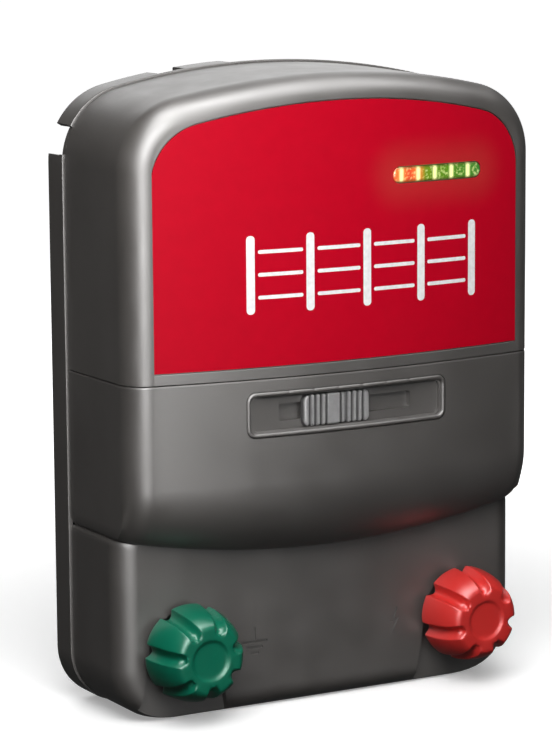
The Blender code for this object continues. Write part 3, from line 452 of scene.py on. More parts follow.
def plan_row(half, depth_at, edge, edge_depth):
    """Plan section of the lower shell from the right parting line round to the left."""
    flat = half - edge
    right = [(half, COVER_REAR, 0.0), (half, COVER_REAR + 0.5 * MM, 0.0)]
    for step in range(EDGE_STEPS + 1):
        angle = math.pi / 2 * step / EDGE_STEPS
        depth = depth_at(flat) - edge_depth * (1 - math.sin(angle))
        right.append((flat + edge * math.cos(angle), depth, math.sin(angle)))
    front = []
    for step in range(1, FRONT_STEPS):
        x = flat * (1 - 2 * step / FRONT_STEPS)
        front.append((x, depth_at(x), 1.0))
    return right + front + [(-x, d, b) for x, d, b in reversed(right)]


def step_height(x):
    """Height of the line where the bulge meets the terminal panel."""
    return STEP_LOW_Z + STEP_RISE * (x / (WIDTH / 2)) ** 2


def bulge_row(turn):
    """One row round the underside of the bulge; turn runs from 0 to a quarter turn."""
    half = WIDTH / 2 - COVER_INSET
    tuck = GROOVE_INSET * (1 - math.cos(turn))
    edge_depth = PANEL_EDGE_RADIUS + (EDGE_DEPTH - PANEL_EDGE_RADIUS) * math.cos(turn)

    def depth_at(x):
        return PANEL_DEPTH + (front_depth(x) - PANEL_DEPTH) * math.cos(turn)

    row = []
    for x, depth, blend in plan_row(half - tuck, depth_at, EDGE_RADIUS, edge_depth):
        start = BULGE_SIDE_Z + (BULGE_FRONT_Z - BULGE_SIDE_Z) * min(1, 2 * blend)
        row.append((x, depth, start - (start - step_height(x)) * math.sin(turn)))
    return row


def panel_row(half, depth, height_at):
    """One row of the flat terminal panel."""
    row = plan_row(half, lambda x: depth, PANEL_EDGE_RADIUS, PANEL_EDGE_RADIUS)
    return [(x, d, height_at(x)) for x, d, _ in row]


def lower_rows():
    """Rows of the lower shell from the seam down to the base."""
    half = WIDTH / 2 - COVER_INSET
    panel_half = WIDTH / 2 - PANEL_INSET
    rows = []
    for drop, tuck in ((0, 0.9 * MM), (0.12 * MM, 0.48 * MM), (0.4 * MM, 0.16 * MM), (0.9 * MM, 0)):
        row = plan_row(half - tuck, lambda x, t=tuck: front_depth(x) - t, EDGE_RADIUS, EDGE_DEPTH)
        rows.append([(x, d, SEAM_Z - GAP / 2 - drop) for x, d, _ in row])
    turns = 22
    rows += [bulge_row(math.pi / 2 * i / turns) for i in range(turns + 1)]
    for drop, tuck in ((0.5, 0.7), (1.2, 0.35), (2.2, 0.12), (3.6, 0)):
        rows.append(panel_row(panel_half - tuck * MM, PANEL_DEPTH,
                              lambda x, d=drop * MM: step_height(x) - d))
    foot_steps = 16
    for i in range(foot_steps + 1):
        angle = math.pi / 2 * i / foot_steps
        z = FOOT_RADIUS * (1 - math.sin(angle))
        lift = max(0, SILL_RADIUS - z)
        back = SILL_RADIUS - math.sqrt(SILL_RADIUS ** 2 - lift ** 2)
        inset = FOOT_RADIUS * (1 - math.cos(angle))
        rows.append(panel_row(panel_half - inset, PANEL_DEPTH - back, lambda x, h=z: h))
    return rows


def make_lower_shell():
    """The lower cover: bulge, terminal panel, switch track, terminal recesses and inlet hole."""
    shape = bmesh.new()
    grid = lay_rows(shape, lower_rows(), closed=False)
    for row in (grid[0], grid[-1]):
        count = len(row)
        for i in range(count // 2 - 1):
            shape.faces.new((row[i], row[i + 1], row[count - 2 - i], row[count - 1 - i]))
    for row, following in zip(grid, grid[1:]):
        shape.faces.new((row[0], row[-1], following[-1], following[0]))
    shell = add_object("lower_shell", facing_out(shape))
    carve(shell, lower_cutters() + mark_cutters())
    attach(sharpen(shell), "housing")
    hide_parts("lower_cover")
    return shell


def lower_cutters():
    """The switch track and its bead's pocket, the inlet and the two terminal recesses."""
    track = slot_outline((0, SWITCH_Z), TRACK_LENGTH, TRACK_HEIGHT, THUMB_RADIUS)
    slot = slot_outline((0, SWITCH_Z), SLOT_LENGTH, SLOT_HEIGHT, 1 * MM, 4)
    bezel = slot_outline((0, SWITCH_Z), BEZEL_LENGTH + 0.2 * MM, BEZEL_HEIGHT + 0.2 * MM, 4.1 * MM)
    bezel = split_long(bezel, 3 * MM)
    cutters = [
        stack("bezel_pocket", [on_front(bezel, offset) for offset in (-0.9 * MM, 3 * MM)], CUTTERS),
        prism("track", track, (TRACK_FLOOR, AHEAD)),
        prism("slot", slot, (SLOT_FLOOR, AHEAD)),
        prism("inlet", [(-10.3 * MM, -1 * MM), (10.3 * MM, -1 * MM), (10.3 * MM, 16.3 * MM),
                        (-10.3 * MM, 16.3 * MM)], (24.7 * MM, 36.3 * MM)),
    ]
    for side in (-1, 1):
        x = side * TERMINAL_X
        arch = arc((x, RECESS_Z), RECESS_RADIUS, 0, math.pi, 32)
        foot = [(x - RECESS_FOOT, 2 * MM), (x - RECESS_FOOT, -5 * MM),
                (x + RECESS_FOOT, -5 * MM), (x + RECESS_FOOT, 2 * MM)]
        cutters.append(prism("recess", arch + foot, (RECESS_FLOOR, 70 * MM)))
        hole = arc((x, TERMINAL_Z), STUD_RADIUS + GAP, 0, 2 * math.pi, 32)[:-1]
        cutters.append(prism("stud_hole", hole, (46 * MM, 55 * MM)))
    return cutters


# Switch bezel ----

# How far the bead's section grows outwards and rises over the front, in mm.
BEAD_PROFILE = [(-0.05, -0.9), (-0.05, -0.35), (-0.2, -0.05), (-0.55, 0.3), (-1.0, 0.42),
                (-1.45, 0.3), (-1.8, -0.05), (-2.0, -0.5), (-2.1, -0.9), (-2.3, -1.3),
                (-2.62, -1.6)]
BEAD_STEP = 0.7 * MM
NOTCH_DEPTH = 0.45 * MM
MARK_HALF_WIDTH = 0.8 * MM


def bezel_outline(grow):
    """The bezel's rounded rectangle, grown or shrunk, point for point."""
    outer = slot_outline((0, SWITCH_Z), BEZEL_LENGTH, BEZEL_HEIGHT, BEZEL_RADIUS)
    moved = slot_outline((0, SWITCH_Z), BEZEL_LENGTH + 2 * grow, BEZEL_HEIGHT + 2 * grow,
                         BEZEL_RADIUS + grow)
    return split_long(moved, BEAD_STEP, outer)


def notch_at(x, z):
    """How deep the position marks bite into the top bead at x, from 0 to 1."""
    if z < SWITCH_Z + 0.4 * BEZEL_HEIGHT:
        return 0
    nearest = min(abs(x - (i - 2.5) * MODE_PITCH) for i in range(6))
    return max(0, 1 - nearest / MARK_HALF_WIDTH)


def make_bezel():
    """The raised bead round the switch, with position marks across its top rail."""
    rings = []
    for grow, lift in BEAD_PROFILE:
        ring = []
        for x, z in bezel_outline(grow * MM):
            height = lift * MM - NOTCH_DEPTH * notch_at(x, z) * (lift > -0.3)
            ring.append((x, front_depth(x) + height, z))
        rings.append(ring)
    shape = bmesh.new()
    rows = lay_rows(shape, rings)
    back = [shape.verts.new((v.co.x, v.co.y + 0.8 * MM, v.co.z)) for v in rows[-1]]
    rear = [shape.verts.new((v.co.x, v.co.y + 1.5 * MM, v.co.z)) for v in rows[0]]
    bridge(shape, rows[-1], back)
    bridge(shape, back, rear)
    bridge(shape, rear, rows[0])
    bezel = add_object("switch_bezel", facing_out(shape))
    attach(sharpen(bezel, 50), "housing")
    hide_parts("switch_bezel")
    return bezel


def thumb_grid(shape):
    """The thumb's crowned front, as rows from its foot to its top."""
    columns, levels = 240, 26
    half, tall = THUMB_LENGTH / 2, THUMB_HEIGHT / 2
    rings = []
    for j in range(levels + 1):
        ring = []
        v = -math.cos(math.pi * j / levels)
        for i in range(columns + 1):
            u = -math.cos(math.pi * i / columns) * 0.35 + (2 * i / columns - 1) * 0.65
            x = half * u
            reach = corner_reach(x, half, tall, THUMB_RADIUS)
            z = reach * v
            ring.append((THUMB_X + x, thumb_depth(x, z, reach), SWITCH_Z + z))
        rings.append(ring)
    return lay_rows(shape, rings, closed=False)


def make_thumb():
    """The ribbed thumb of the mode slide, with a neck that dips into the slot."""
    rear = TRACK_FLOOR + GAP
    shape = bmesh.new()
    rows = thumb_grid(shape)
    rim = rows[0] + [row[-1] for row in rows[1:]] + list(reversed(rows[-1][:-1]))
    rim += [row[0] for row in reversed(rows[1:-1])]
    base = [shape.verts.new((v.co.x, REAR_Y - rear, v.co.z)) for v in rim]
    bridge(shape, rim, base)
    shape.faces.new(base)
    thumb = add_object("mode_thumb", facing_out(shape))
    half, tall = 2.2 * MM, 3 * MM
    section = [(THUMB_X - half, SWITCH_Z - tall), (THUMB_X + half, SWITCH_Z - tall),
               (THUMB_X + half, SWITCH_Z + tall), (THUMB_X - half, SWITCH_Z + tall)]
    neck = prism("neck", section, (SLOT_FLOOR + GAP, rear + 0.4 * MM))
    carve(thumb, [neck], "UNION")
    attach(sharpen(thumb, 55), "mode_slider")
    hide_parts("slider_thumb")
    return thumb


def corner_reach(x, half, tall, radius):
    """Half height of a rounded rectangle at x."""
    over = abs(x) - (half - radius)
    if over <= 0:
        return tall
    return tall - radius + math.sqrt(max(0, radius ** 2 - over ** 2))


# Middle, half width and depth of each groove across the thumb, in mm.
THUMB_GROOVES = [(start + i * 2.55, 0.72, 1.6) for start in (-12.6, 4.3) for i in range(4)]
THUMB_GROOVES.append((1.7, 0.75, 1.7))


def thumb_depth(x, z, reach):
    """Front surface of the thumb: ribs at both ends and a smooth pad between them."""
    half = THUMB_LENGTH / 2
    edge = max(0, (abs(x) - half + 1.2 * MM) / (1.2 * MM))
    lip = max(0, (abs(z) - reach + 0.8 * MM) / (0.8 * MM))
    depth = THUMB_FRONT - 0.9 * MM * edge ** 2 - 0.7 * MM * lip ** 2
    mm = x / MM
    for centre, half_width, bite in THUMB_GROOVES:
        away = abs(mm - centre) / half_width
        if away < 1:
            depth -= bite * MM * (1 - away ** 4)
    if -4.0 < mm < 1.0:
        depth += 0.12 * MM * math.sin(math.pi * (mm + 4.0) / 5.0)
    if 2.2 < mm < 3.7:
        depth -= 0.5 * MM
    return min(depth, THUMB_FRONT)


# Label and lamp ----

def make_label():
    """The label: a thin film with a softly rounded rim, lying in its recess."""
    top = -LABEL_SINK
    rings = [on_front(label_ring(0), top - LABEL_THICKNESS),
             on_front(label_ring(0), top - 0.12 * MM),
             on_front(label_ring(-0.06 * MM), top - 0.03 * MM),
             on_front(label_ring(-0.18 * MM), top)]
    shape = bmesh.new()
    rows = lay_rows(shape, rings)
    close_in_strips(shape, rows[0])
    close_in_strips(shape, rows[-1])
    label = add_object("label_film", facing_out(shape))
    window = slot_outline((LAMP_X, LAMP_Z), LAMP_LENGTH + 2 * GAP, LAMP_HEIGHT + 2 * GAP, None, 16)
    carve(label, [prism("label_window", window, (LAMP_REAR, AHEAD))])
    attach(sharpen(label), "housing")
    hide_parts("front_label")
    return label


def make_lens():
    """The lamp window: a long clear bar with domed edges."""
    rings = []
    for inset, offset in ((0, -3.4), (0, -0.75), (0.12, -0.5), (0.4, -0.3), (0.9, -0.16),
                          (1.7, -0.1)):
        outline = slot_outline((LAMP_X, LAMP_Z), LAMP_LENGTH - 2 * inset * MM,
                               LAMP_HEIGHT - 2 * inset * MM, None, 12)
        rings.append(on_front(outline, offset * MM))
    lens = stack("lamp_window_bar", rings)
    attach(sharpen(lens, 60), "housing")
    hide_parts("lamp_lens")
    return lens


# Knobs ----

# Radius and depth behind the face, in mm, from the middle of the face to the rear rim.
KNOB_PROFILE = [(0, 0.95), (3, 0.95), (6.0, 0.95), (6.9, 0.9), (7.5, 0.7), (8.0, 0.35),
                (8.35, 0.1), (8.8, 0.0), (9.6, 0.0), (11, 0.0), (12.2, 0.0), (12.9, 0.05),
                (13.5, 0.25), (14.1, 0.65), (14.75, 1.3), (15.4, 2.2), (16.1, 3.3), (16.8, 4.6),
                (17.4, 6.0), (18.0, 7.8), (18.5, 9.8), (18.95, 12.0), (19.25, 14.2),
                (19.45, 16.4), (19.5, 18.0), (19.45, 19.0), (19.2, 19.8), (18.7, 20.3),
                (18.0, 20.5)]


def groove_bite(angle, radius):
    """How far the seven finger grooves cut in at an angle, in mm."""
    pitch = 2 * math.pi / KNOB_LOBES
    away = abs((angle + pitch / 2) % pitch - pitch / 2) * max(radius, 9)
    if away >= GROOVE_REACH:
        return 0
    side = (1 - (away / GROOVE_REACH) ** 2) ** 0.85
    fade = min(1, max(0, (radius - 10.6) / 3.2))
    return GROOVE_DEPTH * side * fade


def turned_ring(shape, radius_at, back_at):
    """A ring of vertices about the knob's own axis, in mm."""
    ring = []
    for i in range(KNOB_TURNS):
        angle = 2 * math.pi * i / KNOB_TURNS
        r = radius_at(angle)
        ring.append(shape.verts.new((r * MM * math.cos(angle), r * MM * math.sin(angle),
                                     -back_at(angle) * MM)))
    return ring


def make_knob(label, side):
    """A turned knob with seven finger grooves and a sunk disc in its face."""
    shape = bmesh.new()
    rows = []
    centre = shape.verts.new((0, 0, -KNOB_PROFILE[0][1] * MM))
    for radius, back in KNOB_PROFILE[1:]:
        rows.append(turned_ring(
            shape, lambda a, r=radius: r - groove_bite(a, r),
            lambda a, r=radius, b=back: b + 0.25 * groove_bite(a, r) * (b < 1.4)))
    for i in range(KNOB_TURNS):
        shape.faces.new((centre, rows[0][i], rows[0][(i + 1) % KNOB_TURNS]))
    for row, following in zip(rows, rows[1:]):
        bridge(shape, row, following)
    for inner, back in ((INSERT_RADIUS, 20.5), (INSERT_RADIUS, 6.6), (BORE_RADIUS, 6.4),
                        (BORE_RADIUS, 2.7)):
        ring = turned_ring(shape, lambda a, r=inner: r, lambda a, b=back: b)
        bridge(shape, rows[-1], ring)
        rows.append(ring)
    shape.faces.new(rows[-1])
    facing_out(shape)
    forward = Matrix.Rotation(math.pi / 2, 4, "X")
    turn = Matrix.Rotation(GROOVE_PHASE[side], 4, "Z")
    place = Matrix.Translation((side * TERMINAL_X, REAR_Y - KNOB_FACE, TERMINAL_Z))
    shape.transform(place @ forward @ turn)
    knob = add_object(f"{label}_grip", shape)
    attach(sharpen(knob, 60), f"{label}_turn_knob")
    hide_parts(f"{label}_knob")
    return knob


# Rear tray ----

def make_tray():
    """The rear case with its rim, hanging channel, notches, keyholes and screw pockets."""
    rings = []
    for inset, depth in ((0.6, 0.0), (0.18, 0.18), (0, 0.6), (0, 12.6), (0.18, 13.02),
                         (0.6, 13.2)):
        rings.append([(x, depth * MM, z) for x, z in case_outline(inset * MM)])
    tray = stack("rear_tray", rings)
    carve(tray, tray_cutters())
    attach(sharpen(tray), "housing")
    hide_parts("rear_case")
    return tray


def tray_cutters():
    """The channel, the notches in the rim, the keyholes and the screw pockets."""
    cutters = [channel_cutter()]
    for side in (-1, 1):
        behind = shoulder_path(side, 8.5 * MM, 0)
        beside = shoulder_path(side, COVER_INSET + GAP, math.radians(0.6))
        cutters.append(prism("shoulder", behind, (BEHIND, TRAY_DEPTH - LAND + 0.5 * MM)))
        cutters.append(prism("shoulder_land", beside, (BEHIND, TRAY_DEPTH + 1 * MM)))
    for left, right in TOP_NOTCHES:
        path = arch_line(left, right, SKIRT_WALL + 1 * MM)
        path += list(reversed(arch_line(left, right, -3 * MM)))
        cutters.append(prism("top_notch", path, (BEHIND, TRAY_DEPTH - LAND + 0.5 * MM)))
    for z in KEYHOLES:
        entry = arc((0, z), KEY_ENTRY, 0, 2 * math.pi, 40)[:-1]
        cutters.append(prism("entry", entry, (BEHIND, KEY_DEPTH)))
        cutters.append(prism("slot", key_path(z, KEY_SLOT, 16), (BEHIND, KEY_LIP + 1 * MM)))
        cutters.append(prism("head", key_path(z, KEY_HEAD, 20), (KEY_LIP, KEY_DEPTH - 0.1 * MM)))
    for x, z in [(side * x, z) for x, z in SCREW_PLACES for side in (1, -1)]:
        pocket = arc((x, z), POCKET_RADIUS, 0, 2 * math.pi, 32)[:-1]
        cutters.append(prism("pocket", pocket, (BEHIND, POCKET_DEPTH)))
    return cutters


def key_path(z, half_width, steps):
    """A keyhole's slot: square at the entry and round at its top."""
    return [(-half_width, z), (half_width, z)] + arc((0, z + KEY_RISE), half_width, 0, math.pi,
                                                     steps)


def channel_cutter():
    """The ring-shaped channel behind the rim."""
    shape = bmesh.new()
    floor = TRAY_DEPTH - LAND
    outer, inner = case_outline(SKIRT_WALL), case_outline(CHANNEL_INNER)
    rings = [[(x, depth, z) for x, z in outline]
             for outline, depth in ((outer, BEHIND), (outer, floor), (inner, floor),
                                    (inner, BEHIND))]
    rows = lay_rows(shape, rings)
    bridge(shape, rows[-1], rows[0])
    return add_object("channel", facing_out(shape), CUTTERS)


def shoulder_path(side, inset, trim):
    """The part of the rim round a shoulder that a notch takes away, down to an inset."""
    low, high = NOTCH_ANGLES[0] + trim, NOTCH_ANGLES[1] - trim
    inner = arc(CORNER_CENTRE, CORNER_RADIUS - inset, low, high, 14)
    outer = arc(CORNER_CENTRE, CORNER_RADIUS + 3 * MM, low, high, 14)
    return [(side * x, z) for x, z in inner + list(reversed(outer))]


def arch_line(left, right, inset):
    """Points along the arched top between two x values."""
    radius = ARCH_RADIUS - inset
    xs = [left + (right - left) * i / 12 for i in range(13)]
    return [(x, ARCH_CENTRE[1] + math.sqrt(radius ** 2 - x ** 2)) for x in xs]


# Engraved marks ----

def bar(x, z, half_x, half_z):
    """A straight stroke with softened ends."""
    return slot_outline((x, z), 2 * half_x, 2 * half_z, MARK_STROKE * 0.95, 4)


def mark_cutters():
    """The grooves of the earth sign and the lightning sign beside the two terminals."""
    outlines = [bar(EARTH_MARK_X, MARK_Z + 2.9 * MM, MARK_STROKE, 2.9 * MM)]
    for i, half in enumerate((6, 4, 2)):
        z = MARK_Z - 0.4 * MM - i * 2.3 * MM
        outlines.append(bar(EARTH_MARK_X, z, half * MM, MARK_STROKE))
    bolt = [(0.6, 5.6), (-2.2, -0.4), (-0.4, -0.4), (-1.0, -5.6), (2.2, 1.0), (0.3, 1.0),
            (1.6, 5.6)]
    outlines.append([(BOLT_MARK_X + dx * MM, MARK_Z + dz * MM) for dx, dz in bolt])
    depths = (PANEL_DEPTH - MARK_DEPTH, PANEL_DEPTH + 1 * MM)
    return [prism("mark", outline, depths) for outline in outlines]


# Print on the label ----

FENCE_Z = 181 * MM
WIRE_PITCH = 9 * MM
PRINT_STEP = 1.5 * MM


def print_piece(name, columns):
    """A flat piece of white print that follows the bow of the label, from x, low, high."""
    shape = bmesh.new()
    rows = []
    for lift in (-0.06 * MM, 0.025 * MM):
        row = []
        for x, low, high in columns:
            y = REAR_Y - front_depth(x) + LABEL_SINK - lift
            row.append([shape.verts.new((x, y, z)) for z in (low, high)])
        rows.append(row)
    back, front = rows
    for i in range(len(columns) - 1):
        shape.faces.new((front[i][0], front[i + 1][0], front[i + 1][1], front[i][1]))
        shape.faces.new((back[i][0], back[i][1], back[i + 1][1], back[i + 1][0]))
        for level in (0, 1):
            shape.faces.new((front[i][level], back[i][level], back[i + 1][level],
                             front[i + 1][level]))
    for i in (0, -1):
        shape.faces.new((front[i][0], front[i][1], back[i][1], back[i][0]))
    piece = sharpen(add_object(name, facing_out(shape)))
    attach(piece, "housing")
    return piece


def rounded_columns(x, z, length, height, radius):
    """Columns of a rounded rectangle on the label."""
    flat = length / 2 - radius
    xs = [flat + radius * math.cos(math.pi / 2 * i / 4) for i in range(5)]
    count = max(1, math.ceil(flat / PRINT_STEP))
    xs += [flat * (1 - i / count) for i in range(1, count + 1)]
    xs += [-dx for dx in reversed(xs[:-1])]
    columns = []
    for dx in xs:
        over = max(0, abs(dx) - flat)
        tall = height / 2 - radius + math.sqrt(max(0, radius ** 2 - over ** 2))
        columns.append((x + dx, z - tall - 1e-6, z + tall + 1e-6))
    return columns


def make_print():
    """A plain drawing of a wire fence: five posts with three wires between them."""
    pieces = []
    posts = [(-44 + 26 * i) * MM for i in range(5)]
    for i, x in enumerate(posts):
        columns = rounded_columns(x, FENCE_Z, 3.6 * MM, 31 * MM, 1.6 * MM)
        pieces.append(print_piece(f"print_post_{i + 1}", columns))
    for i, z in enumerate((FENCE_Z - WIRE_PITCH, FENCE_Z, FENCE_Z + WIRE_PITCH)):
        for j, (left, right) in enumerate(zip(posts, posts[1:])):
            length = right - left - 6.4 * MM
            columns = rounded_columns((left + right) / 2, z, length, 1.5 * MM, 0.7 * MM)
            pieces.append(print_piece(f"print_wire_{i + 1}_{j + 1}", columns))
    return pieces


# Materials ----

class Nodes:
    """Short names for building a material's node tree."""

    def __init__(self, name):
        self.material = bpy.data.materials.new(name)
        self.material.use_nodes = True
        self.tree = self.material.node_tree
        self.shader = self.tree.nodes["Principled BSDF"]
        coordinates = self.tree.nodes.new("ShaderNodeTexCoord")
        self.place = coordinates.outputs["Object"]

    def feed(self, socket, value):
        """Link a socket to an output, or give it a number or a colour."""
        if isinstance(value, bpy.types.NodeSocket):
            self.tree.links.new(value, socket)
        else:
            socket.default_value = (*value, 1) if isinstance(value, tuple) else value

    def make(self, kind, inputs=(), **settings):
        """A new node with its settings and inputs."""
        node = self.tree.nodes.new(kind)
        for key, value in settings.items():
            setattr(node, key, value)
        for socket, value in dict(inputs).items():
            self.feed(node.inputs[socket], value)
        return node

    def along(self, axis):
        """How far a point lies along one axis of the object."""
        return self.make("ShaderNodeSeparateXYZ", {0: self.place}).outputs[axis]

    def noise(self, scale, detail=3.0, roughness=0.55):
        inputs = {"Vector": self.place, "Scale": scale, "Detail": detail, "Roughness": roughness}
        return self.make("ShaderNodeTexNoise", inputs).outputs["Fac"]

    def remap(self, value, low, high, to_low=0.0, to_high=1.0):
        inputs = {0: value, 1: low, 2: high, 3: to_low, 4: to_high}
        return self.make("ShaderNodeMapRange", inputs).outputs[0]

    def maths(self, operation, a, b=0.0):
        return self.make("ShaderNodeMath", {0: a, 1: b}, operation=operation).outputs[0]

    def mix(self, factor, a, b):
        return self.make("ShaderNodeMix", {0: factor, 6: a, 7: b}, data_type="RGBA").outputs[2]

    def bump(self, height, strength, distance):
        inputs = {"Height": height, "Strength": strength, "Distance": distance}
        return self.make("ShaderNodeBump", inputs).outputs[0]

    def worn_edge(self, low, high):
        """Rises from 0 to 1 along convex edges."""
        pointiness = self.make("ShaderNodeNewGeometry").outputs["Pointiness"]
        return self.remap(pointiness, low, high)

    def set(self, **values):
        """Feed the shader's sockets, named with _ for each space, and return the material."""
        for key, value in values.items():
            self.feed(self.shader.inputs[key.replace("_", " ")], value)
        return self.material


def scaled(colour, factor):
    """A colour made lighter or darker."""
    return tuple(channel * factor for channel in colour)


def moulded(name, colour, rough=0.42, grain=900, grain_depth=0.02, drift=0.12, specular=0.5):
    """Moulded plastic: fine spark-eroded grain, faint flow marks and lighter worn edges."""
    nodes = Nodes(name)
    broad = nodes.noise(14, 2.0)
    fine = nodes.noise(grain, 3.0, 0.6)
    tint = nodes.remap(broad, 0.3, 0.7)
    base = nodes.mix(tint, scaled(colour, 1 - drift), scaled(colour, 1 + drift))
    worn = nodes.maths("MULTIPLY", nodes.worn_edge(0.53, 0.62), 0.25)
    base = nodes.mix(worn, base, scaled(colour, 1.7))
    rubbed = nodes.noise(60, 4.0)
    roughness = nodes.remap(rubbed, 0.3, 0.7, rough - 0.04, rough + 0.05)
    normal = nodes.bump(fine, 0.35, grain_depth * MM)
    return nodes.set(Base_Color=base, Roughness=roughness, Normal=normal,
                     Specular_IOR_Level=specular)


def ribbed(name, colour, front_y):
    """Smooth plastic with painted shade: the grooves darken below the level of the rib tops."""
    nodes = Nodes(name)
    # Painted shade: grooves and the thumb's sides darken with depth behind the rib tops.
    deep = nodes.remap(nodes.along("Y"), front_y + 0.3 * MM, front_y + 1.3 * MM, 0.0, 0.9)
    scuffs = nodes.remap(nodes.noise(300, 3.0), 0.35, 0.65)
    base = nodes.mix(scuffs, scaled(colour, 0.92), scaled(colour, 1.08))
    base = nodes.mix(deep, base, scaled(colour, 0.06))
    roughness = nodes.remap(nodes.noise(70, 3.0), 0.3, 0.7, 0.26, 0.34)
    normal = nodes.bump(nodes.noise(900, 3.0), 0.3, 0.02 * MM)
    return nodes.set(Base_Color=base, Roughness=roughness, Normal=normal,
                     Specular_IOR_Level=0.8)


def film(name, colour, glow):
    """Printed film: flat colour, faint orange peel and the lamp's glow round its window."""
    nodes = Nodes(name)
    across = nodes.maths("ABSOLUTE", nodes.maths("SUBTRACT", nodes.along("X"), LAMP_X))
    across = nodes.maths("MAXIMUM", nodes.maths("SUBTRACT", across, LAMP_LENGTH / 2 - 3 * MM), 0.0)
    up = nodes.maths("SUBTRACT", nodes.along("Z"), LAMP_Z)
    far = nodes.maths("SQRT", nodes.maths("ADD", nodes.maths("MULTIPLY", across, across),
                                          nodes.maths("MULTIPLY", up, up)))
    near = nodes.make("ShaderNodeMapRange", {0: far, 1: 1 * MM, 2: 18 * MM, 3: 1.0, 4: 0.0},
                      interpolation_type="SMOOTHSTEP").outputs[0]
    mottle = nodes.remap(nodes.noise(160, 3.0), 0.3, 0.7)
    base = nodes.mix(mottle, scaled(colour, 0.97), scaled(colour, 1.03))
    base = nodes.mix(nodes.maths("MULTIPLY", near, 0.45), base, glow)
    roughness = nodes.remap(nodes.noise(35, 3.0), 0.3, 0.7, 0.40, 0.50)
    normal = nodes.bump(nodes.noise(420, 2.0), 0.10, 0.02 * MM)
    return nodes.set(Base_Color=base, Roughness=roughness, Normal=normal,
                     Specular_IOR_Level=0.03)


def white_ink(name):
    """Printed white with faint specks."""
    nodes = Nodes(name)
    specks = nodes.remap(nodes.noise(500, 3.0), 0.35, 0.65)
    base = nodes.mix(specks, (0.78, 0.76, 0.76), (0.88, 0.87, 0.87))
    normal = nodes.bump(nodes.noise(700, 2.0), 0.12, 0.015 * MM)
    return nodes.set(Base_Color=base, Roughness=0.4, Normal=normal)


def lamp_bar(name):
    """The lit window: cells from red to green with bright ribs between them, and painted shade
    along its top and bottom edges.
    """
    nodes = Nodes(name)
    along = nodes.remap(nodes.along("X"), LAMP_X - LAMP_LENGTH / 2, LAMP_X + LAMP_LENGTH / 2)
    ramp = nodes.make("ShaderNodeValToRGB", {0: along})
    stops = [(0.0, (0.55, 0.09, 0.03)), (0.08, (0.85, 0.20, 0.04)), (0.17, (0.60, 0.06, 0.02)),
             (0.28, (0.75, 0.16, 0.03)), (0.36, (0.12, 0.21, 0.01)), (0.62, (0.07, 0.19, 0.01)),
             (1.0, (0.03, 0.16, 0.02))]
    elements = ramp.color_ramp.elements
    elements[0].color = (*stops[0][1], 1)
    elements[1].color = (*stops[-1][1], 1)
    for position, colour in stops[1:-1]:
        elements.new(position).color = (*colour, 1)
    ribs = nodes.maths("FRACT", nodes.maths("MULTIPLY", nodes.maths("SUBTRACT", along, 0.085),
                                            5.25))
    ribs = nodes.maths("ABSOLUTE", nodes.maths("SUBTRACT", ribs, 0.5))
    ribs = nodes.remap(ribs, 0.32, 0.47, 0.0, 0.95)
    sparkle = nodes.remap(nodes.noise(750, 1.0), 0.5, 0.8, 0.0, 0.5)
    light = nodes.maths("MAXIMUM", ribs, sparkle)
    colour = nodes.mix(light, ramp.outputs["Color"], (0.95, 0.97, 0.42))
    # Painted shade of the gap round the window: the colour darkens towards the top and bottom
    # edges.
    up = nodes.maths("ABSOLUTE", nodes.maths("SUBTRACT", nodes.along("Z"), LAMP_Z))
    rim = nodes.remap(up, 0.30 * LAMP_HEIGHT, 0.48 * LAMP_HEIGHT, 0.0, 0.8)
    colour = nodes.mix(rim, colour, (0.05, 0.05, 0.01))
    return nodes.set(Base_Color=colour, Roughness=0.12, Emission_Color=colour,
                     Emission_Strength=0.55, Coat_Weight=0.3)


def metal(name, colour, rough, brushed=1800):
    """Plated or turned metal with fine machining lines and a little tarnish."""
    nodes = Nodes(name)
    lines = nodes.noise(brushed, 2.0)
    tarnish = nodes.remap(nodes.noise(90, 4.0), 0.35, 0.7)
    base = nodes.mix(tarnish, colour, scaled(colour, 0.8))
    roughness = nodes.remap(lines, 0.3, 0.7, rough - 0.06, rough + 0.08)
    normal = nodes.bump(lines, 0.15, 0.02 * MM)
    return nodes.set(Base_Color=base, Roughness=roughness, Normal=normal, Metallic=1.0)


def board(name, colour):
    """Solder mask over copper tracks."""
    nodes = Nodes(name)
    tracks = nodes.make("ShaderNodeTexVoronoi", {"Vector": nodes.place, "Scale": 320},
                        feature="DISTANCE_TO_EDGE").outputs["Distance"]
    lines = nodes.remap(tracks, 0.02, 0.08, 1.0, 0.0)
    base = nodes.mix(lines, colour, scaled(colour, 1.8))
    return nodes.set(Base_Color=base, Roughness=0.35, Normal=nodes.bump(lines, 0.3, 0.05 * MM))


def finish(piece, material):
    """Leave a piece with one material only."""
    piece.data.materials.clear()
    piece.data.materials.append(material)


CASE_GREY = (0.052, 0.047, 0.043)


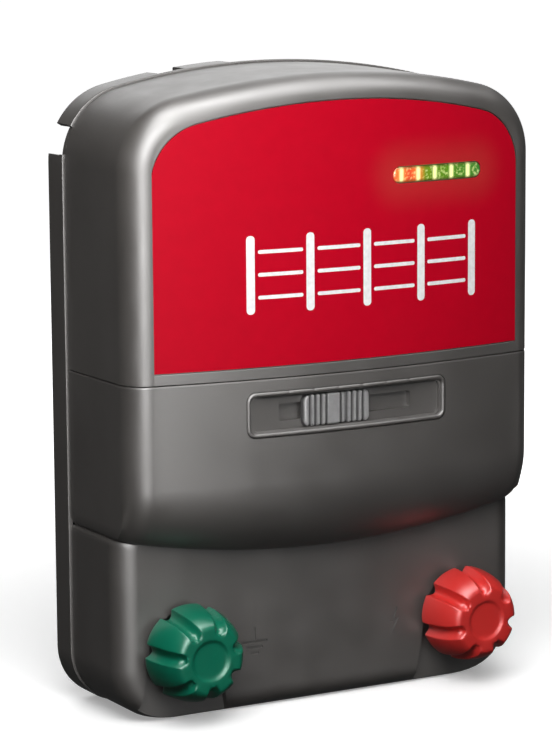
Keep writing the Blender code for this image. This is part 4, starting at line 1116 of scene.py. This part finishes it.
def dress(pieces):
    """Give each new piece and each kept solid its material."""
    ink = white_ink("label_ink")
    case = moulded("case_plastic", CASE_GREY, 0.44, 1100, 0.03, specular=1.0)
    for name in ("upper_shell", "lower_shell", "tray", "bezel"):
        finish(pieces[name], case)
    finish(pieces["thumb"], ribbed("thumb_plastic", (0.27, 0.265, 0.265), THUMB_LOW.y))
    green = moulded("knob_green_plastic", (0.0, 0.14, 0.078), 0.30, 700, 0.015, 0.05, specular=0.4)
    red = moulded("knob_red_plastic", (0.60, 0.024, 0.020), 0.33, 700, 0.015, 0.05)
    finish(pieces["earth"], green)
    finish(pieces["fence"], red)
    finish(pieces["label"], film("label_film", (0.46, 0.0015, 0.014), (0.46, 0.045, 0.034)))
    for piece in pieces["print"]:
        finish(piece, ink)
    finish(pieces["lens"], lamp_bar("lamp_light"))
    kept = {
        "rubber_black": moulded("seal_rubber", (0.02, 0.02, 0.02), 0.75, 500, 0.05),
        "board_green": board("board_mask", (0.02, 0.13, 0.05)),
        "steel": metal("plated_steel", (0.62, 0.62, 0.63), 0.28),
        "brass": metal("turned_brass", (0.72, 0.52, 0.22), 0.28),
        "copper": metal("winding_copper", (0.75, 0.33, 0.16), 0.35, 900),
        "core_grey": metal("core_iron", (0.18, 0.17, 0.17), 0.5, 1200),
        "aluminium": metal("sink_aluminium", (0.75, 0.76, 0.77), 0.35),
        "can_blue": moulded("can_sleeve", (0.03, 0.06, 0.22), 0.35),
        "plastic_black": moulded("black_plastic", (0.02, 0.02, 0.022), 0.4),
        "wire_red": moulded("red_insulation", (0.5, 0.02, 0.02), 0.42),
        "wire_green": moulded("green_insulation", (0.02, 0.25, 0.07), 0.42),
        "knob_green": green,
        "knob_red": red,
        "slider_grey": pieces["thumb"].data.materials[0],
        "lens_clear": pieces["lens"].data.materials[0],
        "case_grey": case,
        "label_red": pieces["label"].data.materials[0],
    }
    for entry in frame["record"]["subparts"]:
        node = frame["nodes"][entry["node"]]
        slot = entry["material_slot"]
        if slot in kept:
            finish(node, kept[slot])
        else:
            finish(node, cell_light(slot))


def cell_light(slot):
    """A light cell's moulded dome, lit in its own colour."""
    entry = next(m for m in frame["record"]["materials"] if m["slot"] == slot)
    colour = tuple(entry["base_color"][:3])
    nodes = Nodes(slot)
    spot = nodes.remap(nodes.noise(900, 2.0), 0.4, 0.65)
    base = nodes.mix(spot, colour, (0.95, 0.95, 0.6))
    return nodes.set(Base_Color=base, Roughness=0.2, Emission_Color=base, Emission_Strength=1.0)


# Stage ----

AIM_HEIGHT = 0.13
CAMERA_PLACE = (-0.62413, -1.07911, 0.33490)
CAMERA_TURN = 29.542
CAMERA_PITCH = 9.2
CAMERA_ROLL = -0.4223
CAMERA_LENS = 147.93


def make_floor():
    """A wide pale sweep: level under the object and curving up far behind it."""
    profile = [(-6.0, 0.0), (-2.0, 0.0), (-0.6, 0.0), (0.6, 0.0), (3.0, 0.0), (5.0, 0.0)]
    profile += [(5.0 + 2 * math.sin(a), 2 - 2 * math.cos(a))
                for a in [math.pi / 2 * i / 12 for i in range(1, 13)]]
    profile += [(7.0, 6.0)]
    shape = bmesh.new()
    rows = [[shape.verts.new((x, y, z)) for x in (-8, -3, -1, 0, 1, 3, 8)] for y, z in profile]
    for row, following in zip(rows, rows[1:]):
        bridge(shape, row, following, closed=False)
    floor = add_object("floor", shape)
    nodes = Nodes("pale_floor")
    cloud = nodes.remap(nodes.noise(3, 3.0), 0.3, 0.7)
    base = nodes.mix(cloud, (0.86, 0.86, 0.86), (0.89, 0.89, 0.89))
    # Painted light: the floor glows, weaker near the case and at full strength beyond 0.6 m, so the
    # far floor reads white.
    away = nodes.make("ShaderNodeVectorMath", {0: nodes.place}, operation="LENGTH")
    glow = nodes.make("ShaderNodeMapRange", {0: away.outputs["Value"], 1: 0.12, 2: 0.6, 3: 0.3,
                                             4: 1.0}, interpolation_type="SMOOTHSTEP").outputs[0]
    nodes.set(Base_Color=base, Roughness=0.6, Emission_Color=(1.0, 1.0, 1.0),
              Emission_Strength=glow, Specular_IOR_Level=0.2)
    finish(floor, nodes.material)
    floor.visible_diffuse = False
    floor.visible_glossy = False


def add_area(name, azimuth, elevation, distance, size, power, glossy_only=False):
    """A softbox aimed at the case; azimuth 0 is straight in front, negative is to the left."""
    light = bpy.data.lights.new(name, "AREA")
    light.shape = "RECTANGLE"
    light.size, light.size_y = size
    light.energy = power
    lamp = bpy.data.objects.new(name, light)
    bpy.context.scene.collection.objects.link(lamp)
    aim = Vector((0, 0, AIM_HEIGHT))
    a, e = math.radians(azimuth), math.radians(elevation)
    away = Vector((math.sin(a) * math.cos(e), -math.cos(a) * math.cos(e), math.sin(e)))
    lamp.location = aim + away * distance
    lamp.rotation_euler = (-away).to_track_quat("-Z", "Y").to_euler()
    if glossy_only:
        lamp.visible_diffuse = False


def make_lights():
    """Key light from the upper left, softboxes that only show as gloss, and soft fill."""
    add_area("key", -31, 36, 0.55, (0.42, 0.36), 4.1)
    add_area("edge_glow", -31, 15, 0.65, (0.25, 0.5), 5.5, glossy_only=True)
    add_area("front_glow", -9, 4, 0.9, (0.5, 0.5), 4.2, glossy_only=True)
    add_area("top_glow", -38, 66, 0.45, (0.26, 0.22), 2.2, glossy_only=True)
    add_area("arch_glow", 42, 66, 0.5, (0.4, 0.3), 2.6, glossy_only=True)
    add_area("overhead", 20, 84, 1.3, (1.5, 1.3), 4.6)
    add_area("back_fill", 160, 30, 1.2, (0.9, 0.9), 5.0)
    world = bpy.context.scene.world or bpy.data.worlds.new("studio")
    bpy.context.scene.world = world
    world.use_nodes = True
    background = world.node_tree.nodes["Background"]
    background.inputs["Color"].default_value = (1.0, 1.0, 1.0, 1)
    background.inputs["Strength"].default_value = 0.05


def make_camera():
    """The camera stands to the left of the front and looks slightly down."""
    azimuth, pitch, roll = (math.radians(a) for a in (CAMERA_TURN, CAMERA_PITCH, CAMERA_ROLL))
    forward = Vector((math.sin(azimuth) * math.cos(pitch), math.cos(azimuth) * math.cos(pitch),
                      -math.sin(pitch)))
    right = Vector((math.cos(azimuth), -math.sin(azimuth), 0))
    up = right.cross(forward)
    tilted = right * math.cos(roll) + up * math.sin(roll)
    upright = up * math.cos(roll) - right * math.sin(roll)
    data = bpy.data.cameras.new("camera")
    data.sensor_width = 36
    data.lens = CAMERA_LENS
    data.clip_end = 50
    camera = bpy.data.objects.new("camera", data)
    bpy.context.scene.collection.objects.link(camera)
    axes = Matrix((tilted, upright, -forward)).transposed().to_4x4()
    camera.matrix_world = Matrix.Translation(CAMERA_PLACE) @ axes
    bpy.context.scene.camera = camera


def build():
    """Make every piece, its material and the stage."""
    pieces = {
        "upper_shell": make_upper_shell(),
        "lower_shell": make_lower_shell(),
        "bezel": make_bezel(),
        "thumb": make_thumb(),
        "label": make_label(),
        "lens": make_lens(),
        "earth": make_knob("earth", -1),
        "fence": make_knob("fence", 1),
        "tray": make_tray(),
        "print": make_print(),
    }
    dress(pieces)
    make_floor()
    make_lights()
    make_camera()
    bpy.context.scene.view_settings.view_transform = "Standard"


build()
bpy.data.collections.remove(CUTTERS)
